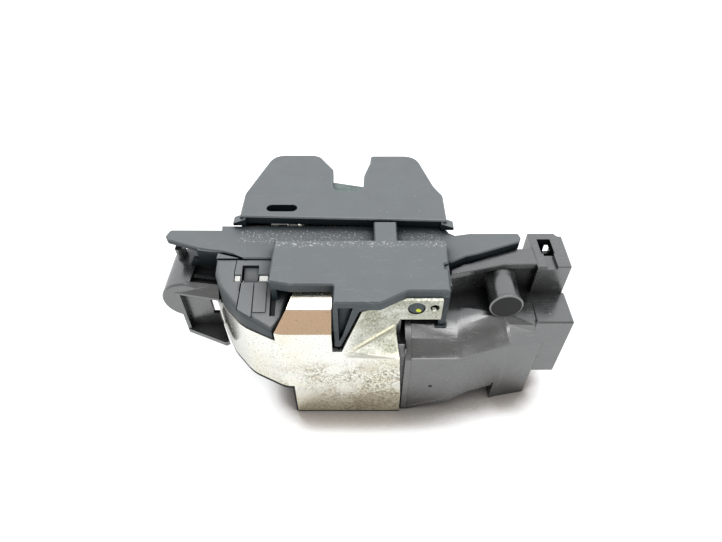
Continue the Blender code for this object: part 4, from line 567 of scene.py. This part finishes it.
def lower_rim():
    """Thin black strip under the lower edge of the bracket's wall and band."""
    source = nodes["bracket"].data
    bm = bmesh.new()
    corner_of = {}

    def corner(point):
        key = tuple(round(value, 6) for value in point)
        if key not in corner_of:
            corner_of[key] = bm.verts.new(point)
        return corner_of[key]

    for face in source.polygons:
        under = face.normal.z < -0.95 and face.center.z < 0.0185
        beside = face.normal.x < -0.95 and face.center.z < 0.0178 and face.center.y < -0.037
        if not (under or beside):
            continue
        low = -0.0007 if face.center.z < 0.01 else -0.0014
        shift = Vector((0, 0, low)) if under else Vector((-0.0006, 0, 0))
        near = [source.vertices[index].co + shift * 0.02 for index in face.vertices]
        far = [point + shift for point in near]
        count = len(near)
        bm.faces.new([corner(point) for point in near])
        bm.faces.new([corner(point) for point in reversed(far)])
        for step in range(count):
            after = (step + 1) % count
            side = (near[step], far[step], far[after], near[after])
            try:
                bm.faces.new([corner(point) for point in side])
            except ValueError:
                pass
    bmesh.ops.recalc_face_normals(bm, faces=bm.faces)
    mesh = bpy.data.meshes.new("lower_rim")
    bm.to_mesh(mesh)
    bm.free()
    mesh.materials.append(shade_and_mark_black)
    item = bpy.data.objects.new("lower_rim", mesh)
    bpy.context.scene.collection.objects.link(item)
    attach(item, body_of_node["housing"])
    print("lower rim faces", len(mesh.polygons))
    return item


lower_rim()

# %% [markdown]
# ## Paint dab and pin mark
# A dab of yellow-green inspection paint sits on the end of the stud in the bracket's tab. It is a thin
# blob with an uneven rim, a tenth of a millimetre high, laid on the stud's face. The same maker gives
# the small mark of an ejector pin on the box: a line of sight from the camera finds its place.

# %% Paint dab on the stud
def blob(name, centre, radii, height, normal, seed, finish, body):
    rng = random.Random(seed)
    bm = bmesh.new()
    steps = 20
    rings = []
    spread = [1.0 + rng.uniform(-0.22, 0.22) for _ in range(steps)]
    spread = [(spread[i - 1] + spread[i] + spread[(i + 1) % steps]) / 3 for i in range(steps)]
    for share, lift in ((1.0, 0.0), (0.96, 0.55), (0.8, 0.9), (0.45, 1.0)):
        ring = []
        for step in range(steps):
            angle = 2 * math.pi * step / steps
            ring.append(bm.verts.new((radii[0] * share * spread[step] * math.cos(angle),
                                      radii[1] * share * spread[step] * math.sin(angle), height * lift)))
        rings.append(ring)
    for low, high in zip(rings, rings[1:]):
        for step in range(steps):
            after = (step + 1) % steps
            bm.faces.new((low[step], low[after], high[after], high[step]))
    bm.faces.new(rings[-1])
    bm.faces.new(list(reversed(rings[0])))
    turn = Vector((0, 0, 1)).rotation_difference(Vector(normal)).to_matrix().to_4x4()
    bmesh.ops.transform(bm, matrix=Matrix.Translation(centre) @ turn, verts=bm.verts)
    mesh = bpy.data.meshes.new(name)
    bm.to_mesh(mesh)
    bm.free()
    mesh.materials.append(finish)
    mesh.shade_smooth()
    item = bpy.data.objects.new(name, mesh)
    bpy.context.scene.collection.objects.link(item)
    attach(item, body)
    return item


paint = cloudy("inspection_paint", (0.62, 0.68, 0.04), 0.45, 500.0)
STUD_FACE_Y = -0.0337
dab = blob("paint_dab", (0.0186, STUD_FACE_Y, 0.0530), (0.00095, 0.0008), 0.00012, (0, -1, 0), 4, paint,
           body_of_node["front_cover"])
print("paint dab at", tuple(round(c, 4) for c in dab.data.vertices[0].co))
PIN_MARK_SIGHT = (0.1324, 0.5359, -0.8726)
found, place, facing, _ = dressed_pieces["housing"].ray_cast(
    Vector(CAMERA_PLACE), Vector(PIN_MARK_SIGHT))
blob("pin_mark", place, (0.0008, 0.0007), 0.00008, facing, 7, shade_and_mark_black,
     body_of_node["housing"])
print("pin mark", found, tuple(round(c, 4) for c in place), "facing", tuple(round(c, 2) for c in facing))

# %% [markdown]
# ## Studio
# The photograph has a seamless white ground that is lit until it is pure white, with a tight warm
# shadow where the lock touches it. The floor is white, and a little light of its own, seen only by the
# camera and in reflections, lifts it to white. Ambient occlusion holds that light back close to the
# lock, so that the shadow stays. One lamp is a soft panel overhead and the other is a low strip in front.

# %% Floor, world and lamps
FLOOR_HALF = 3.0


def make_floor():
    size = FLOOR_HALF
    mesh = bpy.data.meshes.new("floor")
    corners = [(-size, -size, 0), (size, -size, 0), (size, size, 0), (-size, size, 0)]
    mesh.from_pydata(corners, [], [(0, 1, 2, 3)])
    item = bpy.data.objects.new("floor", mesh)
    bpy.context.scene.collection.objects.link(item)
    finish, tree, shader = new_finish("floor_white", (0.86, 0.86, 0.86), 0.9)
    coords = place_of(tree)
    paper = ramp(tree, noise(tree, coords, 40.0, 3.0), "Fac", [(0.3, 0.85), (0.7, 0.87)])
    closeness = add_node(tree, "ShaderNodeAmbientOcclusion", samples=8)
    closeness.inputs["Distance"].default_value = 0.014
    # Painted shadow: the floor's colour turns warm and dark close to the lock, by ambient occlusion.
    painted_warm_shadow = ramp(tree, closeness, "AO",
                [(0.45, (0.06, 0.045, 0.032)), (0.75, (0.26, 0.21, 0.17)), (0.94, 0.86)])
    shade = mixed(tree, paper, painted_warm_shadow, 0.8)
    tree.links.new(shade.outputs[2], shader.inputs["Base Color"])
    lift = ramp(tree, closeness, "AO", [(0.72, 0.0), (0.95, 1.0)])
    glow = add_node(tree, "ShaderNodeEmission")
    tree.links.new(lift.outputs["Color"], glow.inputs["Color"])
    seen = add_node(tree, "ShaderNodeLightPath")
    mirrored = maths(tree, "MULTIPLY", (seen, "Is Glossy Ray"), 0.35)
    direct = maths(tree, "MAXIMUM", (seen, "Is Camera Ray"), mirrored)
    strength = maths(tree, "MULTIPLY", direct, 0.50)
    tree.links.new(strength.outputs[0], glow.inputs["Strength"])
    summed = add_node(tree, "ShaderNodeAddShader")
    tree.links.new(shader.outputs["BSDF"], summed.inputs[0])
    tree.links.new(glow.outputs["Emission"], summed.inputs[1])
    tree.links.new(summed.outputs["Shader"], tree.nodes["Material Output"].inputs["Surface"])
    mesh.materials.append(finish)
    return item


def make_world():
    world = bpy.data.worlds.new("studio")
    bpy.context.scene.world = world
    world.use_nodes = True
    tree = world.node_tree
    sky = tree.nodes["Background"]
    coords = add_node(tree, "ShaderNodeTexCoord")
    split = add_node(tree, "ShaderNodeSeparateXYZ")
    wire(tree, coords, "Generated", split, "Vector")
    depth = tree.nodes.new("ShaderNodeMapRange")
    depth.inputs["From Min"].default_value = -1.0
    depth.inputs["From Max"].default_value = 1.0
    tree.links.new(split.outputs["Y"], depth.inputs["Value"])
    room = ramp(tree, depth, "Result", [(0.0, (0.40, 0.39, 0.38)), (0.16, (0.52, 0.51, 0.50)), (0.31, 0.84),
                                        (0.60, (1.10, 1.13, 1.15)), (1.0, (1.16, 1.20, 1.23))])
    seen = add_node(tree, "ShaderNodeLightPath")
    white = mixed(tree, room, (1.0, 1.0, 1.0), 0.0)
    tree.links.new(seen.outputs["Is Camera Ray"], white.inputs[0])
    tree.links.new(white.outputs[2], sky.inputs["Color"])


def area_lamp(name, place, aim, width, height, power):
    lamp = bpy.data.lights.new(name, "AREA")
    lamp.shape = "RECTANGLE"
    lamp.size = width
    lamp.size_y = height
    lamp.energy = power
    item = bpy.data.objects.new(name, lamp)
    bpy.context.scene.collection.objects.link(item)
    item.location = place
    item.rotation_euler = (Vector(aim) - Vector(place)).to_track_quat("-Z", "Y").to_euler()
    return item


make_floor()
make_world()
area_lamp("soft_panel", (0.06, -0.32, 0.90), (0.0, 0.0, 0.03), 0.5, 0.4, 1.9)
area_lamp("front_strip", (0.10, -0.85, 0.16), (0.0, 0.0, 0.03), 0.7, 0.16, 1.3)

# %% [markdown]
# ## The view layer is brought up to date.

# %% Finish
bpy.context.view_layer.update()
